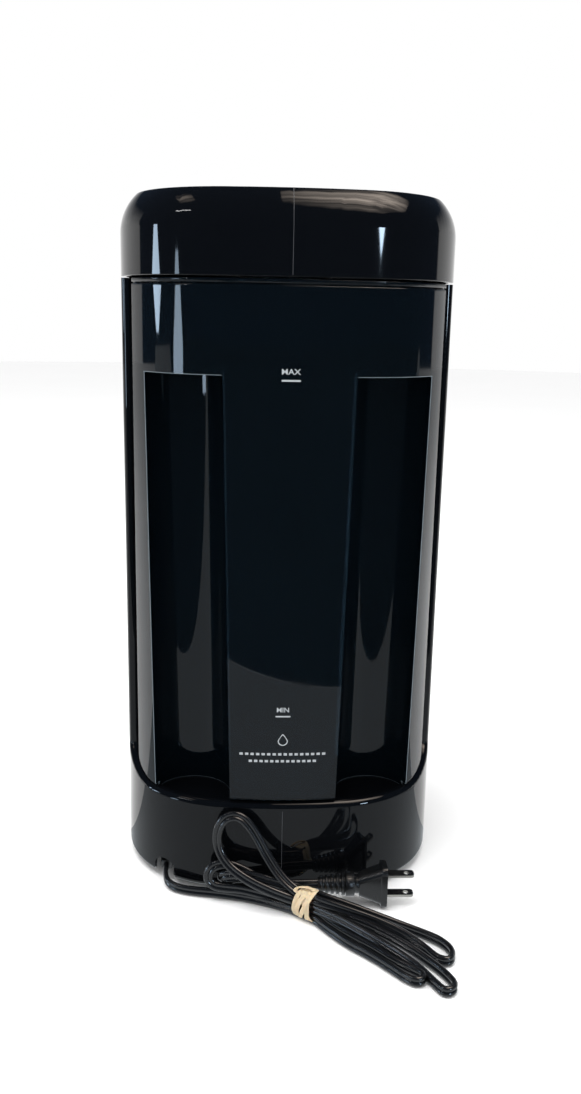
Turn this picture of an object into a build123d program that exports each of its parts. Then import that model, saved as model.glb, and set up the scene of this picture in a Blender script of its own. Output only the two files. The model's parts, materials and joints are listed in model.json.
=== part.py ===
from build123d import *

import math
import os

# Tower cool mist humidifier, millimetres. Origin under the middle of the body, +Z up.
# The water tank's window and the mains lead are on the -Y side, the control panel on the +Y side.

# ---- driving dimensions ----
WIDTH = 196.0
DEPTH = 196.0
HEIGHT = 410.0
CORNER_R = 68.0
FACE_R = 272.0
FOOT_H = 3.0
WALL = 3.0
HOUSING_TOP = 363.5
COVER_LOW = 364.2
RIM_Z = 60.5
DECK_Z = 58.0
BAY_HALF = 89.5
BAY_FRONT = 52.0
WINDOW_CORNER = 14.0
RIM_ROUND = 4.0
RIM_WALL = 5.0
RIM_GAP = 0.6
COLUMN_WALL = 2.5
TRAY_T = 2.5
LEDGE_Z = 50.0
PLATE_T = 2.5

# cover
SHOULDER_R = 30.0
SHOULDER_Z = 388.0
EDGE_R = 2.5
DISH_R = 56.0
DISH_DEPTH = 5.0
NOZZLE_R = 33.0
OUTLET_R = 19.0

# tank
TANK_GAP = 0.8
TANK_SIDE = 88.9
TANK_FRONT = 51.2
TANK_LOW = 58.2
TANK_TOP = 360.4
TANK_WALL = 2.6
COLLAR_LOW = 360.9
COLLAR_TOP = 363.2
CHANNEL_R = 23.0
CHANNEL_Y = -79.0
CHANNEL_TOP_X = 59.7
CHANNEL_LOW_X = 54.5
CHANNEL_TOP = 312.0

# mist column, water well and valve
MIST_Y = 15.0
MIST_R = 20.0
MIST_WALL = 2.0
VALVE_Y = -46.0
WELL_R = 27.5
WELL_FLOOR = 36.5
CAP_R = 21.0
FILL_Y = -46.0
FILL_R = 33.0
FLOAT_Y = -8.0

# electrics
FAN_X = 58.0
FAN_Y = 4.0
FAN_SIDE = 50.0
FAN_LOW = 8.0
FAN_H = 15.0
BOARD_T = 1.6
PANEL_Z = 300.0
BUTTON_Z = 262.0
BUTTON_R = 8.0
BUTTON_TRAVEL = 1.2

# lead
CORD_D = 6.2
PLUG_Y = -108.0
PLUG_Z = 13.5
BLADE_GAP = 12.7

# ---- outline ----
CORNER_X = WIDTH / 2 - CORNER_R
FACE_CENTRE = FACE_R - DEPTH / 2
CORNER_Y = math.sqrt((FACE_R - CORNER_R) ** 2 - CORNER_X**2) - FACE_CENTRE
CORNER_AIM = math.atan2(CORNER_Y + FACE_CENTRE, CORNER_X)


def plan(inset):
    """The body's outline as a face, drawn in by inset: arcs for the faces, arcs for the corners."""
    half_x = WIDTH / 2 - inset
    half_y = DEPTH / 2 - inset
    r = CORNER_R - inset
    mx = CORNER_X + r * math.cos(CORNER_AIM / 2)
    my = CORNER_Y + r * math.sin(CORNER_AIM / 2)
    tx = CORNER_X + r * math.cos(CORNER_AIM)
    ty = CORNER_Y + r * math.sin(CORNER_AIM)
    edges = [Line((half_x, -CORNER_Y), (half_x, CORNER_Y))]
    edges.append(ThreePointArc((half_x, CORNER_Y), (mx, my), (tx, ty)))
    edges.append(ThreePointArc((tx, ty), (0, half_y), (-tx, ty)))
    edges.append(ThreePointArc((-tx, ty), (-mx, my), (-half_x, CORNER_Y)))
    edges.append(Line((-half_x, CORNER_Y), (-half_x, -CORNER_Y)))
    edges.append(ThreePointArc((-half_x, -CORNER_Y), (-mx, -my), (-tx, -ty)))
    edges.append(ThreePointArc((-tx, -ty), (0, -half_y), (tx, -ty)))
    edges.append(ThreePointArc((tx, -ty), (mx, -my), (half_x, -CORNER_Y)))
    return make_face(Wire(edges).edges())


def block(inset, low, high):
    """An upright block of the outline between two heights."""
    return Pos(0, 0, low) * extrude(plan(inset), amount=high - low)


def slab(x0, x1, y0, y1, z0, z1):
    """A box between two corners."""
    centre = Pos((x0 + x1) / 2, (y0 + y1) / 2, (z0 + z1) / 2)
    return centre * Box(x1 - x0, y1 - y0, z1 - z0)


def rod(x, y, z0, z1, r):
    """An upright round bar."""
    return Pos(x, y, (z0 + z1) / 2) * Cylinder(r, z1 - z0)


def tube(x, y, z0, z1, outer, inner):
    """An upright round tube."""
    return rod(x, y, z0, z1, outer) - rod(x, y, z0, z1, inner)


def along_y(x, z, y0, y1, r):
    """A round bar lying along Y."""
    return Pos(x, (y0 + y1) / 2, z) * Rot(90, 0, 0) * Cylinder(r, y1 - y0)


def along_x(y, z, x0, x1, r):
    """A round bar lying along X."""
    return Pos((x0 + x1) / 2, y, z) * Rot(0, 90, 0) * Cylinder(r, x1 - x0)


def well_block(r, low, high):
    """The long round-ended shape of the water well."""
    mid = (VALVE_Y + MIST_Y) / 2
    shape = SlotCenterToCenter(MIST_Y - VALVE_Y, 2 * r, rotation=90)
    return Pos(0, mid, low) * extrude(shape, amount=high - low)


def save(shape, name):
    """Write one node's STEP file."""
    export_step(shape, f"parts/{name}.step")


# ---- housing and base ----
def housing():
    """The outer shell: base, two side pillars and front column in one moulding."""
    body = block(0, FOOT_H, HOUSING_TOP)
    body = fillet(body.edges().group_by(Axis.Z)[0], 4.0)
    opening_high = HOUSING_TOP + 20
    opening = Rectangle(2 * BAY_HALF, opening_high - RIM_Z, align=(Align.CENTER, Align.MIN))
    opening = fillet(opening.vertices().group_by(Axis.Y)[0], WINDOW_CORNER)
    window = Plane(origin=(0, -20, RIM_Z), x_dir=(1, 0, 0), z_dir=(0, -1, 0)) * opening
    body -= extrude(window, amount=100)
    lip = [
        e
        for e in body.edges()
        if e.center().Y < -55 and RIM_Z - 2 < e.center().Z < HOUSING_TOP - 20
    ]
    body = fillet(lip, RIM_ROUND)
    bay = block(RIM_WALL, LEDGE_Z, HOUSING_TOP + 1)
    body -= bay & slab(-BAY_HALF, BAY_HALF, -DEPTH, 0, LEDGE_Z, HOUSING_TOP + 1)
    body -= slab(-BAY_HALF, BAY_HALF, -BAY_FRONT / 2, BAY_FRONT, LEDGE_Z, HOUSING_TOP + 1)
    body -= block(WALL, FOOT_H, LEDGE_Z - 4)
    throat = block(WALL + 6, LEDGE_Z - 4, LEDGE_Z)
    body -= throat & slab(-84, 84, -DEPTH, BAY_FRONT - 5, LEDGE_Z - 4, LEDGE_Z)
    column = block(WALL, LEDGE_Z - 4, HOUSING_TOP - WALL)
    column &= slab(-WIDTH, WIDTH, BAY_FRONT + COLUMN_WALL, DEPTH, LEDGE_Z - 4, HOUSING_TOP - WALL)
    body -= column
    for side in (-1, 1):
        body -= Pos(side * 93.5, 9, 182) * Box(3.0, 82, 344)
    body -= along_y(0, BUTTON_Z, BAY_FRONT + 10, DEPTH, BUTTON_R + 0.3)
    body -= slab(-34, 34, 90, DEPTH, PANEL_Z - 14, PANEL_Z + 14)
    notch = slab(-78, -65, -DEPTH, -70, 0, 9.0)
    notch += along_y(-71.5, 9.0, -DEPTH, -70, 6.5)
    body -= notch
    body -= slab(-0.2, 0.2, -DEPTH / 2 - 1, -DEPTH / 2 + 0.25, FOOT_H + 4, RIM_Z - 4.5)
    return body


def guide_pads():
    """Satin pads at the pillar tops that the tank slides between."""
    pads = []
    for side in (-1, 1):
        x = side * (BAY_HALF - 0.2)
        pads.append(Pos(x, -35, 353) * Box(0.4, 14, 18))
    return Compound(children=pads)


def bottom_plate():
    """The floor of the base, with the fan's intake slots and screw holes."""
    plate = block(WALL + 0.3, FOOT_H + 0.6, FOOT_H + 0.6 + PLATE_T)
    for i in range(7):
        y = FAN_Y - 18 + 6 * i
        plate -= slab(FAN_X - 18, FAN_X + 18, y - 1.5, y + 1.5, 0, 10)
    for x, y in foot_places():
        plate -= rod(x, y, 0, 10, 4.0)
    for x, y in screw_places():
        plate -= rod(x, y, 0, 10, 1.7)
    plate -= slab(-77.5, -66.3, -DEPTH, -56, 0, 10)
    return plate


def foot_places():
    """Centres of the four feet."""
    return [(x, y) for x in (-56, 56) for y in (-64, 64)]


def screw_places():
    """Centres of the four bottom screws."""
    return [(-40, -76), (40, -76), (-28, 42), (28, 42)]


def rubber_feet():
    """Four round rubber feet, each with a peg through the bottom plate."""
    feet = []
    for x, y in foot_places():
        foot = fillet(rod(x, y, 0, FOOT_H + 0.6, 8.0).edges().group_by(Axis.Z)[0], 1.0)
        feet.append(foot + rod(x, y, FOOT_H + 0.6, FOOT_H + 4.0, 3.9))
    return Compound(children=feet)


def bottom_screws():
    """Four pan-head screws that hold the bottom plate."""
    screws = []
    for x, y in screw_places():
        head = rod(x, y, 1.4, FOOT_H + 0.6, 3.0)
        head -= Pos(x, y, 1.4) * Box(4.0, 0.7, 1.6)
        screws.append(head + rod(x, y, FOOT_H + 0.6, FOOT_H + 14, 1.6))
    return Compound(children=screws)


def tray_posts():
    """Four posts under the tray that the bottom screws bite into."""
    posts = []
    for x, y in screw_places():
        posts.append(tube(x, y, FOOT_H + 0.6 + PLATE_T, DECK_Z - TRAY_T, 4.0, 1.65))
    return Compound(children=posts)


def basin_tray():
    """The deck under the tank, with the deep well for the valve, float and disc."""
    deck = block(RIM_WALL + 0.3, LEDGE_Z + 0.8, DECK_Z)
    deck &= slab(-BAY_HALF + 0.3, BAY_HALF - 0.3, -DEPTH, BAY_FRONT - 0.3, 0, 100)
    hollow = block(RIM_WALL + 3, LEDGE_Z, DECK_Z - TRAY_T)
    hollow &= slab(-86, 86, -DEPTH, BAY_FRONT - 3, 0, 100)
    deck -= hollow
    deck += well_block(WELL_R + TRAY_T, WELL_FLOOR - TRAY_T, DECK_Z)
    deck -= well_block(WELL_R, WELL_FLOOR, DECK_Z + 1)
    deck -= rod(0, MIST_Y, 0, WELL_FLOOR, 10.0)
    deck -= slab(WELL_R - 3, WELL_R + 6, FAN_Y - 9, FAN_Y + 9, 46, 52)
    return deck


def basin_gasket():
    """Rubber cord between the tray's edge and the housing ledge."""
    ring = block(RIM_WALL + 0.8, LEDGE_Z, LEDGE_Z + 0.8)
    ring &= slab(-BAY_HALF + 0.8, BAY_HALF - 0.8, -DEPTH, BAY_FRONT - 0.8, 0, 100)
    inner = block(RIM_WALL + 2.8, LEDGE_Z - 1, LEDGE_Z + 2)
    inner &= slab(-BAY_HALF + 3, BAY_HALF - 3, -DEPTH, BAY_FRONT - 3, 0, 100)
    return ring - inner


def transducer_disc():
    """The ultrasonic disc at the bottom of the well."""
    return rod(0, MIST_Y, 33.0, 34.2, 8.5)


def transducer_gasket():
    """The soft ring that holds and seals the disc."""
    ring = tube(0, MIST_Y, 31.5, 36.4, 10.0, 8.5)
    return ring + tube(0, MIST_Y, 31.5, 33.0, 10.0, 6.5)


def transducer_clamp():
    """The plate under the well that presses the gasket up."""
    ring = tube(0, MIST_Y, 28.5, 31.5, 17.0, 6.5)
    return ring + tube(0, MIST_Y, 31.5, 34.0, 17.0, 10.2)


def driver_board():
    """The board that drives the disc, on the bottom plate under the well."""
    board = slab(-26, 26, -8, 36, 14.0, 14.0 + BOARD_T)
    top = 14.0 + BOARD_T
    board += rod(-14, 2, top, top + 10, 5.0)
    board += slab(4, 16, -4, 6, top, top + 8)
    board += slab(-22, -12, 16, 26, top, top + 6)
    for x, y in ((-22, -4), (22, -4), (-22, 32), (23, 33)):
        board += rod(x, y, FOOT_H + 0.6 + PLATE_T, 14.0, 2.0)
    return board


def heat_sink():
    """A finned block on the driver board's power transistor."""
    base = 14.0 + BOARD_T
    sink = slab(0, 20, 10, 30, base, base + 2)
    for i in range(5):
        x = 4.5 * i
        sink += slab(x, x + 2, 10, 30, base + 2, base + 11)
    return sink


def power_board():
    """The mains supply board on the left of the base."""
    board = slab(-84, -38, -22, 42, 14.0, 14.0 + BOARD_T)
    top = 14.0 + BOARD_T
    board += slab(-76, -52, 6, 30, top, top + 22)
    board += rod(-64, -10, top, top + 18, 8.0)
    board += slab(-48, -42, -14, 8, top, top + 12)
    for x, y in ((-80, -18), (-42, -18), (-80, 38), (-42, 38)):
        board += rod(x, y, FOOT_H + 0.6 + PLATE_T, 14.0, 2.0)
    return board


# ---- fan ----
def fan_frame():
    """A square axial fan frame standing on the bottom plate over the intake slots."""
    low = FOOT_H + 0.6 + PLATE_T
    half = FAN_SIDE / 2
    top = FAN_LOW + FAN_H
    frame = slab(FAN_X - half, FAN_X + half, FAN_Y - half, FAN_Y + half, low, top)
    frame -= rod(FAN_X, FAN_Y, low - 1, top + 1, half - 1.5)
    frame += rod(FAN_X, FAN_Y, low, low + 2.5, 12.0)
    for i in range(3):
        arm = Pos(0, (half + 9) / 2, low + 1.25) * Box(2.4, half - 11, 2.5)
        frame += Pos(FAN_X, FAN_Y, 0) * Rot(0, 0, 120 * i) * arm
    frame += rod(FAN_X, FAN_Y, low + 2.5, low + 11, 1.5)
    return frame


def fan_impeller():
    """The fan's hub and seven blades."""
    low = FAN_LOW + 1.5
    hub = rod(FAN_X, FAN_Y, low, FAN_LOW + FAN_H - 1.5, 10.0)
    hub -= rod(FAN_X, FAN_Y, low - 1, low + 8, 1.56)
    hub = fillet(hub.edges().group_by(Axis.Z)[-1], 1.2)
    middle = low + 5.5
    blade = Pos(15.5, 0, 0) * Rot(38, 0, 0) * Box(13.5, 11.0, 1.2)
    for i in range(7):
        hub += Pos(FAN_X, FAN_Y, middle) * Rot(0, 0, 360 / 7 * i) * blade
    return hub


def air_duct():
    """The box that leads the fan's air into the side of the well."""
    half = FAN_SIDE / 2
    low = FAN_LOW + FAN_H
    wall = 2.0
    duct = slab(FAN_X - half, FAN_X + half, FAN_Y - half, FAN_Y + half, low, 55)
    duct += slab(WELL_R + TRAY_T, FAN_X - half, FAN_Y - 11, FAN_Y + 11, 44, 54)
    inside = half - wall
    duct -= slab(FAN_X - inside, FAN_X + inside, FAN_Y - inside, FAN_Y + inside, low - 1, 53)
    duct -= slab(WELL_R, FAN_X - inside + 1, FAN_Y - 9, FAN_Y + 9, 46, 52)
    return duct


# ---- float, valve pin and controls ----
def float_cage():
    """The post and cap that the float rides on."""
    post = rod(0, FLOAT_Y, WELL_FLOOR, 54.5, 2.5)
    return post + rod(0, FLOAT_Y, 53.0, 55.0, 5.0)


def float_ring():
    """The ring that lifts with the water and closes the low-water switch."""
    return fillet(tube(0, FLOAT_Y, WELL_FLOOR + 0.2, WELL_FLOOR + 8.2, 8.5, 2.57).edges(), 0.6)


def valve_lift_pin():
    """The post in the well that pushes the tank's valve open."""
    pin = rod(0, VALVE_Y, WELL_FLOOR, 45.6, 3.0)
    for i in range(3):
        pin += Pos(0, VALVE_Y, 39.0) * Rot(0, 0, 120 * i) * Pos(4, 0, 0) * Box(6, 1.6, 5)
    return pin


def control_board():
    """The upright board behind the control panel, on two posts."""
    board = slab(-30, 30, 66, 66 + BOARD_T, 240, 325)
    board += slab(-14, 14, 66 + BOARD_T, 72, PANEL_Z - 9, PANEL_Z + 9)
    board += slab(-4, 4, 66 + BOARD_T, 74.0, BUTTON_Z - 4, BUTTON_Z + 4)
    for x in (-24, 24):
        for z in (246, 318):
            board += along_y(x, z, BAY_FRONT + 2.5, 66, 2.5)
    return board


def display_lens():
    """The smoked panel over the display, let into the housing's front."""
    lens = block(0.4, PANEL_Z - 13.7, PANEL_Z + 13.7) & slab(-33.7, 33.7, 91, DEPTH, 0, 400)
    return lens


def light_guide():
    """The clear bar that carries the lamps' light to the lens."""
    return slab(-12, 12, 72, 90.8, PANEL_Z - 5, PANEL_Z + 5)


def power_button():
    """The round push button with its stem."""
    button = along_y(0, BUTTON_Z, 88.0, 97.8, BUTTON_R)
    button = fillet(button.edges().group_by(Axis.Y)[-1], 1.0)
    button += along_y(0, BUTTON_Z, 75.5, 88.0, 2.5)
    return button


# ---- tank ----
def channel(side, grow, low, high):
    """The cutter for one upright hand channel; it leans with its height."""
    slope = (CHANNEL_TOP_X - CHANNEL_LOW_X) / (CHANNEL_TOP - RIM_Z)
    x = CHANNEL_LOW_X + slope * (low - RIM_Z)
    r = CHANNEL_R + grow
    shape = Circle(r) + Pos(0, -30) * Rectangle(2 * r, 60)
    lean = Vector(side * slope, 0, 1)
    face = Pos(side * x, CHANNEL_Y, low) * shape
    return extrude(face, amount=(high - low) * lean.length, dir=lean.normalized())


def tank_block(inset, low, high):
    """The tank's outer shape between two heights: rear outline, flat sides and front."""
    body = block(inset + TANK_GAP, low, high)
    bounds = slab(-TANK_SIDE + inset, TANK_SIDE - inset, -DEPTH, TANK_FRONT - inset, low, high)
    return body & bounds


def window_prism(gap, low):
    """The window's shape run through the body, drawn in by gap and starting at a height."""
    shape = Rectangle(2 * (TANK_SIDE - gap), DEPTH * 2, align=(Align.CENTER, Align.MIN))
    shape = fillet(shape.vertices().group_by(Axis.Y)[0], WINDOW_CORNER - gap)
    face = Plane(origin=(0, DEPTH, low), x_dir=(1, 0, 0), z_dir=(0, -1, 0)) * shape
    return extrude(face, amount=2 * DEPTH)


def water_tank():
    """The smoked tank with its two hand channels and a heel that drops inside the rim."""
    low = RIM_Z + RIM_GAP
    body = tank_block(0, low, TANK_TOP) & window_prism(0, low)
    body = fillet(rear_corners(body), 2.5)
    body = fillet(body.edges().group_by(Axis.Z)[-1], 1.6)
    body += tank_block(RIM_WALL, TANK_LOW, low)
    for side in (-1, 1):
        body -= channel(side, 0, TANK_LOW - 1, CHANNEL_TOP)
    floor = low + TANK_WALL
    inner = tank_block(TANK_WALL, floor, TANK_TOP + 1) & window_prism(TANK_WALL, floor)
    for side in (-1, 1):
        inner -= channel(side, TANK_WALL, TANK_LOW - 1, CHANNEL_TOP + TANK_WALL)
    body -= inner
    body -= rod(0, MIST_Y, TANK_LOW - 1, floor + 1, MIST_R)
    body -= rod(0, VALVE_Y, TANK_LOW - 1, floor + 1, 15.0)
    return body


def rear_corners(body):
    """The two upright edges where the tank's sides meet its rounded rear."""
    upright = body.edges().filter_by(Axis.Z)
    return [e for e in upright if abs(e.center().X) > 80 and e.center().Y < -40]


def tank_collar():
    """The cap moulding that closes the tank's top, with the fill and mist openings."""
    body = tank_block(0, COLLAR_LOW, COLLAR_TOP)
    body = fillet(rear_corners(body), 2.5)
    body = fillet(body.edges().group_by(Axis.Z)[-1], 0.8)
    skirt = tank_block(TANK_WALL + 0.2, TANK_TOP - 8, COLLAR_LOW)
    skirt -= tank_block(TANK_WALL + 2.2, TANK_TOP - 9, COLLAR_LOW + 1)
    body += skirt
    body += tank_block(1.2, TANK_TOP, COLLAR_LOW) - tank_block(TANK_WALL + 1, TANK_TOP, COLLAR_LOW)
    body -= rod(0, MIST_Y, 340, 370, MIST_R)
    body -= rod(0, FILL_Y, 340, 370, FILL_R)
    return body


def mist_tube():
    """The chimney through the tank that carries the mist up."""
    return tube(0, MIST_Y, TANK_LOW, COLLAR_TOP, MIST_R, MIST_R - MIST_WALL)


def mist_tube_seal():
    """The ring that seals the chimney to the tank's floor."""
    floor = RIM_Z + RIM_GAP + TANK_WALL
    return tube(0, MIST_Y, floor, floor + 3, MIST_R + 3, MIST_R)


def valve_cap():
    """The screw cap in the tank's floor that carries the valve."""
    low = 48.0
    cap = rod(0, VALVE_Y, low, TANK_LOW, CAP_R) - rod(0, VALVE_Y, low + 2.4, TANK_LOW + 1, CAP_R - 2.2)
    cap += tube(0, VALVE_Y, low + 2.4, TANK_LOW + 8, 14.9, 12.9)
    cap -= rod(0, VALVE_Y, low - 1, low + 3, 6.0)
    for i in range(24):
        cap -= Pos(0, VALVE_Y, 53) * Rot(0, 0, 15 * i) * Pos(CAP_R, 0, 0) * Box(1.0, 1.6, 14)
    cap += tube(0, VALVE_Y, low + 11, low + 13, 12.9, 3.06)
    for i in range(3):
        turn = Pos(0, VALVE_Y, low + 12) * Rot(0, 0, 120 * i + 30)
        cap -= turn * Pos(8, 0, 0) * Box(6, 5, 4)
    return cap


def valve_seal():
    """The ring between the cap and the tank's floor."""
    return tube(0, VALVE_Y, TANK_LOW - 2.0, TANK_LOW, CAP_R - 2.3, 14.95)


def valve_plunger():
    """The sprung plunger that shuts the cap's hole and the pin lifts."""
    stem = rod(0, VALVE_Y, 46.2, 66, 3.0)
    stem += rod(0, VALVE_Y, 50.5, 52.3, 9.0)
    return stem + rod(0, VALVE_Y, 64.5, 66, 4.5)


def valve_spring():
    """The coil that holds the plunger down, as a plain sleeve of its coil's size."""
    return tube(0, VALVE_Y, 52.4, 58.9, 5.2, 3.9)


# ---- cover ----
def top_cover():
    """The lift-off gloss cover with a rounded shoulder and a shallow dish in its top."""
    outer = block(0, COVER_LOW, SHOULDER_Z + SHOULDER_R)
    outer = fillet(outer.edges().group_by(Axis.Z)[-1], SHOULDER_R)
    outer -= slab(-WIDTH, WIDTH, -DEPTH, DEPTH, HEIGHT, HEIGHT + 30)
    outer = fillet(outer.edges().group_by(Axis.Z)[-1], EDGE_R)
    outer = fillet(outer.edges().group_by(Axis.Z)[0], 0.6)
    inner = block(WALL, COVER_LOW - 1, SHOULDER_Z + SHOULDER_R - WALL)
    inner = fillet(inner.edges().group_by(Axis.Z)[-1], SHOULDER_R - WALL)
    inner -= slab(-WIDTH, WIDTH, -DEPTH, DEPTH, HEIGHT - WALL, HEIGHT + 30)
    body = outer - inner
    body += rod(0, MIST_Y, HEIGHT - DISH_DEPTH - WALL, HEIGHT - 1, DISH_R + WALL)
    dish = rod(0, MIST_Y, HEIGHT - DISH_DEPTH, HEIGHT + 1, DISH_R)
    dish = fillet(dish.edges().group_by(Axis.Z)[0], 3.0)
    body -= dish
    body -= rod(0, MIST_Y, HEIGHT - 20, HEIGHT + 1, OUTLET_R)
    body -= slab(-0.2, 0.2, -DEPTH / 2 - 1, -DEPTH / 2 + 0.25, COVER_LOW - 1, SHOULDER_Z)
    return body


def mist_duct():
    """The short chimney under the cover that plugs into the tank's chimney."""
    outer = MIST_R - MIST_WALL - 0.4
    inner = outer - MIST_WALL
    duct = tube(0, MIST_Y, COLLAR_TOP - 8, HEIGHT - 22, outer, inner)
    duct += tube(0, MIST_Y, COLLAR_TOP + 3, COLLAR_TOP + 5, 30.0, inner)
    duct += tube(0, MIST_Y, HEIGHT - 24, HEIGHT - 22, OUTLET_R + 2.4, inner)
    duct += tube(0, MIST_Y, HEIGHT - 22, HEIGHT - DISH_DEPTH - WALL, OUTLET_R + 2.4, OUTLET_R + 0.4)
    return duct


def drip_tray():
    """The flat tray inside the cover that sends drops back into the tank."""
    tray = block(WALL + 0.3, 369.0, 371.0)
    tray -= rod(0, MIST_Y, 360, 380, 17.65)
    for i in range(8):
        tray -= Pos(0, FILL_Y, 370) * Rot(0, 0, 45 * i) * Pos(14, 0, 0) * Box(9, 3, 6)
    return tray


def duct_seal():
    """The soft ring between the cover's chimney and the tank's collar."""
    return tube(0, MIST_Y, COLLAR_TOP + 0.3, COLLAR_TOP + 3, 25.0, 17.65)


def mist_nozzle():
    """The turning nozzle, flush in the dish, with two slanted mist slots."""
    low = HEIGHT - DISH_DEPTH + 0.3
    cap = rod(0, MIST_Y, low, HEIGHT - 0.2, NOZZLE_R)
    cap = fillet(cap.edges().group_by(Axis.Z)[-1], 2.0)
    cap += tube(0, MIST_Y, low - 9, low, OUTLET_R - 0.08, OUTLET_R - 2)
    for side in (-1, 1):
        slot = Pos(side * 9, MIST_Y, low) * Rot(0, side * 25, 0) * Box(6, 20, 24)
        cap -= slot & rod(0, MIST_Y, low - 1, HEIGHT + 1, OUTLET_R - 2)
    for side in (-1, 1):
        cap -= Pos(side * 26, MIST_Y, HEIGHT) * Box(3, 22, 2.4)
    return cap


# ---- mains lead ----
def route(points, name):
    """A tube's path: straight runs with arcs as large as the runs allow."""
    points = [Vector(*p) for p in points]
    radii = []
    for before, corner, after in zip(points, points[1:], points[2:]):
        turn = math.radians((corner - before).get_angle(after - corner))
        run = min((corner - before).length, (after - corner).length)
        radii.append(0.45 * run / math.tan(turn / 2))
    print(name, "radii", [round(r, 1) for r in radii])
    return FilletPolyline(*points, radius=radii)


def cord_tube(points, name):
    """One stretch of the lead as a round tube of the lead's width."""
    path = route(points, name)
    start = Plane(origin=path @ 0, z_dir=path % 0)
    solid = sweep(start * Circle(CORD_D / 2), path=path)
    straight = math.pi * (CORD_D / 2) ** 2 * path.length
    print(name, "length", round(path.length, 1), "volume", round(solid.volume), "of", round(straight))
    return solid


LEAD = [
    (-71.0, -77.0, 8.2),
    (-71.6, -85.5, 5.4),
    (-67.0, -93.4, 3.4),
    (-56.5, -98.0, 3.15),
    (-40.0, -100.6, 3.15),
    (-20.0, -105.8, 3.15),
    (-3.0, -113.0, 3.2),
    (9.0, -120.0, 4.2),
]
LOOP = [
    (8.0, -121.0, 13.5),
    (-1.0, -115.5, 21.0),
    (-9.5, -109.5, 33.5),
    (-16.5, -105.0, 46.0),
    (-24.5, -102.2, 55.0),
    (-33.5, -101.4, 54.5),
    (-39.0, -101.4, 45.5),
    (-38.5, -102.6, 34.0),
    (-32.5, -106.5, 25.0),
    (-21.0, -112.0, 19.0),
    (-6.0, -118.5, 15.0),
    (6.0, -122.5, 12.5),
]
WAIST = (15.0, -122.0, 9.3, 0.79, -0.61)
TAIL = [
    (1.0, -118.0, 11.5),
    (6.0, -111.5, 14.0),
    (13.0, -108.4, 14.0),
    (21.5, -108.0, 13.5),
]


def section(x, y, z, dx, dy, width, height):
    """A round-cornered section of the hank, square to the direction given."""
    frame = Plane(origin=(x, y, z), x_dir=(dy, -dx, 0), z_dir=(dx, dy, 0))
    return frame * RectangleRounded(width, height, min(width, height) * 0.3)


def power_cord_hank():
    """The tied bundle: a fan of loops to the right of the tie and a short wing to the left."""
    right = loft(
        [
            section(*WAIST, 20, 17),
            section(50, -149, 6.5, 0.79, -0.61, 27, 12.5),
            section(80, -172, 5.0, 0.79, -0.61, 38, 9.5),
            section(88, -179, 4.6, 0.79, -0.61, 26, 8.6),
        ],
        ruled=True,
    )
    left = loft(
        [
            section(*WAIST, 20, 17),
            section(0, -114.5, 11.5, 0.87, -0.5, 13, 17),
            section(-20, -107.5, 15.5, 0.93, -0.36, 8, 19),
            section(-42, -103.2, 16.5, 0.98, -0.2, 7, 17),
        ],
        ruled=True,
    )
    return right + left


def cord_band():
    """The rubber band round the bundle's waist."""
    waist = section(*WAIST, 20, 17)
    ring = section(*WAIST, 21.6, 18.4)
    return extrude(ring, amount=4.5, both=True) - extrude(waist, amount=6, both=True)


def cord_strain_relief():
    """The tapered rubber sleeve that holds the lead inside the base's rear notch."""
    end = Vector(*LEAD[0])
    aim = (Vector(*LEAD[1]) - end).normalized()
    length = 22.0
    frame = Plane(origin=end - aim * length, z_dir=aim)
    sleeve = loft([frame * Circle(5.0), frame.offset(length) * Circle(3.9)])
    return sleeve + extrude(frame * Circle(5.8), amount=3)


def plug_body():
    """The moulded plug standing on its narrow edge, with its ribbed neck."""
    stations = ((38, 7.2, 7.2), (43, 7.2, 7.2), (47, 6.0, 6.0))
    body = along_x(PLUG_Y, PLUG_Z, stations[0][0], stations[1][0], stations[0][1])
    low = Plane(origin=(46, PLUG_Y, PLUG_Z), x_dir=(0, 1, 0), z_dir=(1, 0, 0))
    high = low.offset(13)
    body += loft([low * RectangleRounded(11, 13, 4), high * RectangleRounded(13, 23, 4)])
    body += extrude(low.offset(-3) * Circle(5.5), amount=3)
    body += extrude(high * RectangleRounded(15, 26, 4), amount=3.5)
    neck = Plane(origin=(21.5, PLUG_Y, PLUG_Z), x_dir=(0, 1, 0), z_dir=(1, 0, 0))
    body += loft([neck * Circle(4.0), neck.offset(16.5) * Circle(5.2)])
    for i in range(5):
        body += extrude(neck.offset(1.2 + 3.2 * i) * Circle(4.9 + 0.4 * i), amount=1.8)
    return body


def plug_blades():
    """The two flat blades, each with its hole."""
    blades = []
    for side in (-1, 1):
        z = PLUG_Z + side * BLADE_GAP / 2
        blade = slab(62.5, 79.0, PLUG_Y - 3.2, PLUG_Y + 3.2, z - 0.75, z + 0.75)
        blade = fillet(blade.edges().filter_by(Axis.Z).group_by(Axis.X)[-1], 2.0)
        blade -= rod(74.5, PLUG_Y, z - 2, z + 2, 1.6)
        blades.append(blade)
    return Compound(children=blades)


PIECES = [
    housing,
    guide_pads,
    bottom_plate,
    rubber_feet,
    bottom_screws,
    tray_posts,
    basin_tray,
    basin_gasket,
    transducer_disc,
    transducer_gasket,
    transducer_clamp,
    driver_board,
    heat_sink,
    power_board,
    fan_frame,
    fan_impeller,
    air_duct,
    float_cage,
    float_ring,
    valve_lift_pin,
    control_board,
    display_lens,
    light_guide,
    power_button,
    water_tank,
    tank_collar,
    mist_tube,
    mist_tube_seal,
    valve_cap,
    valve_seal,
    valve_plunger,
    valve_spring,
    top_cover,
    mist_duct,
    drip_tray,
    duct_seal,
    mist_nozzle,
    power_cord_hank,
    cord_band,
    cord_strain_relief,
    plug_body,
    plug_blades,
]


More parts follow.
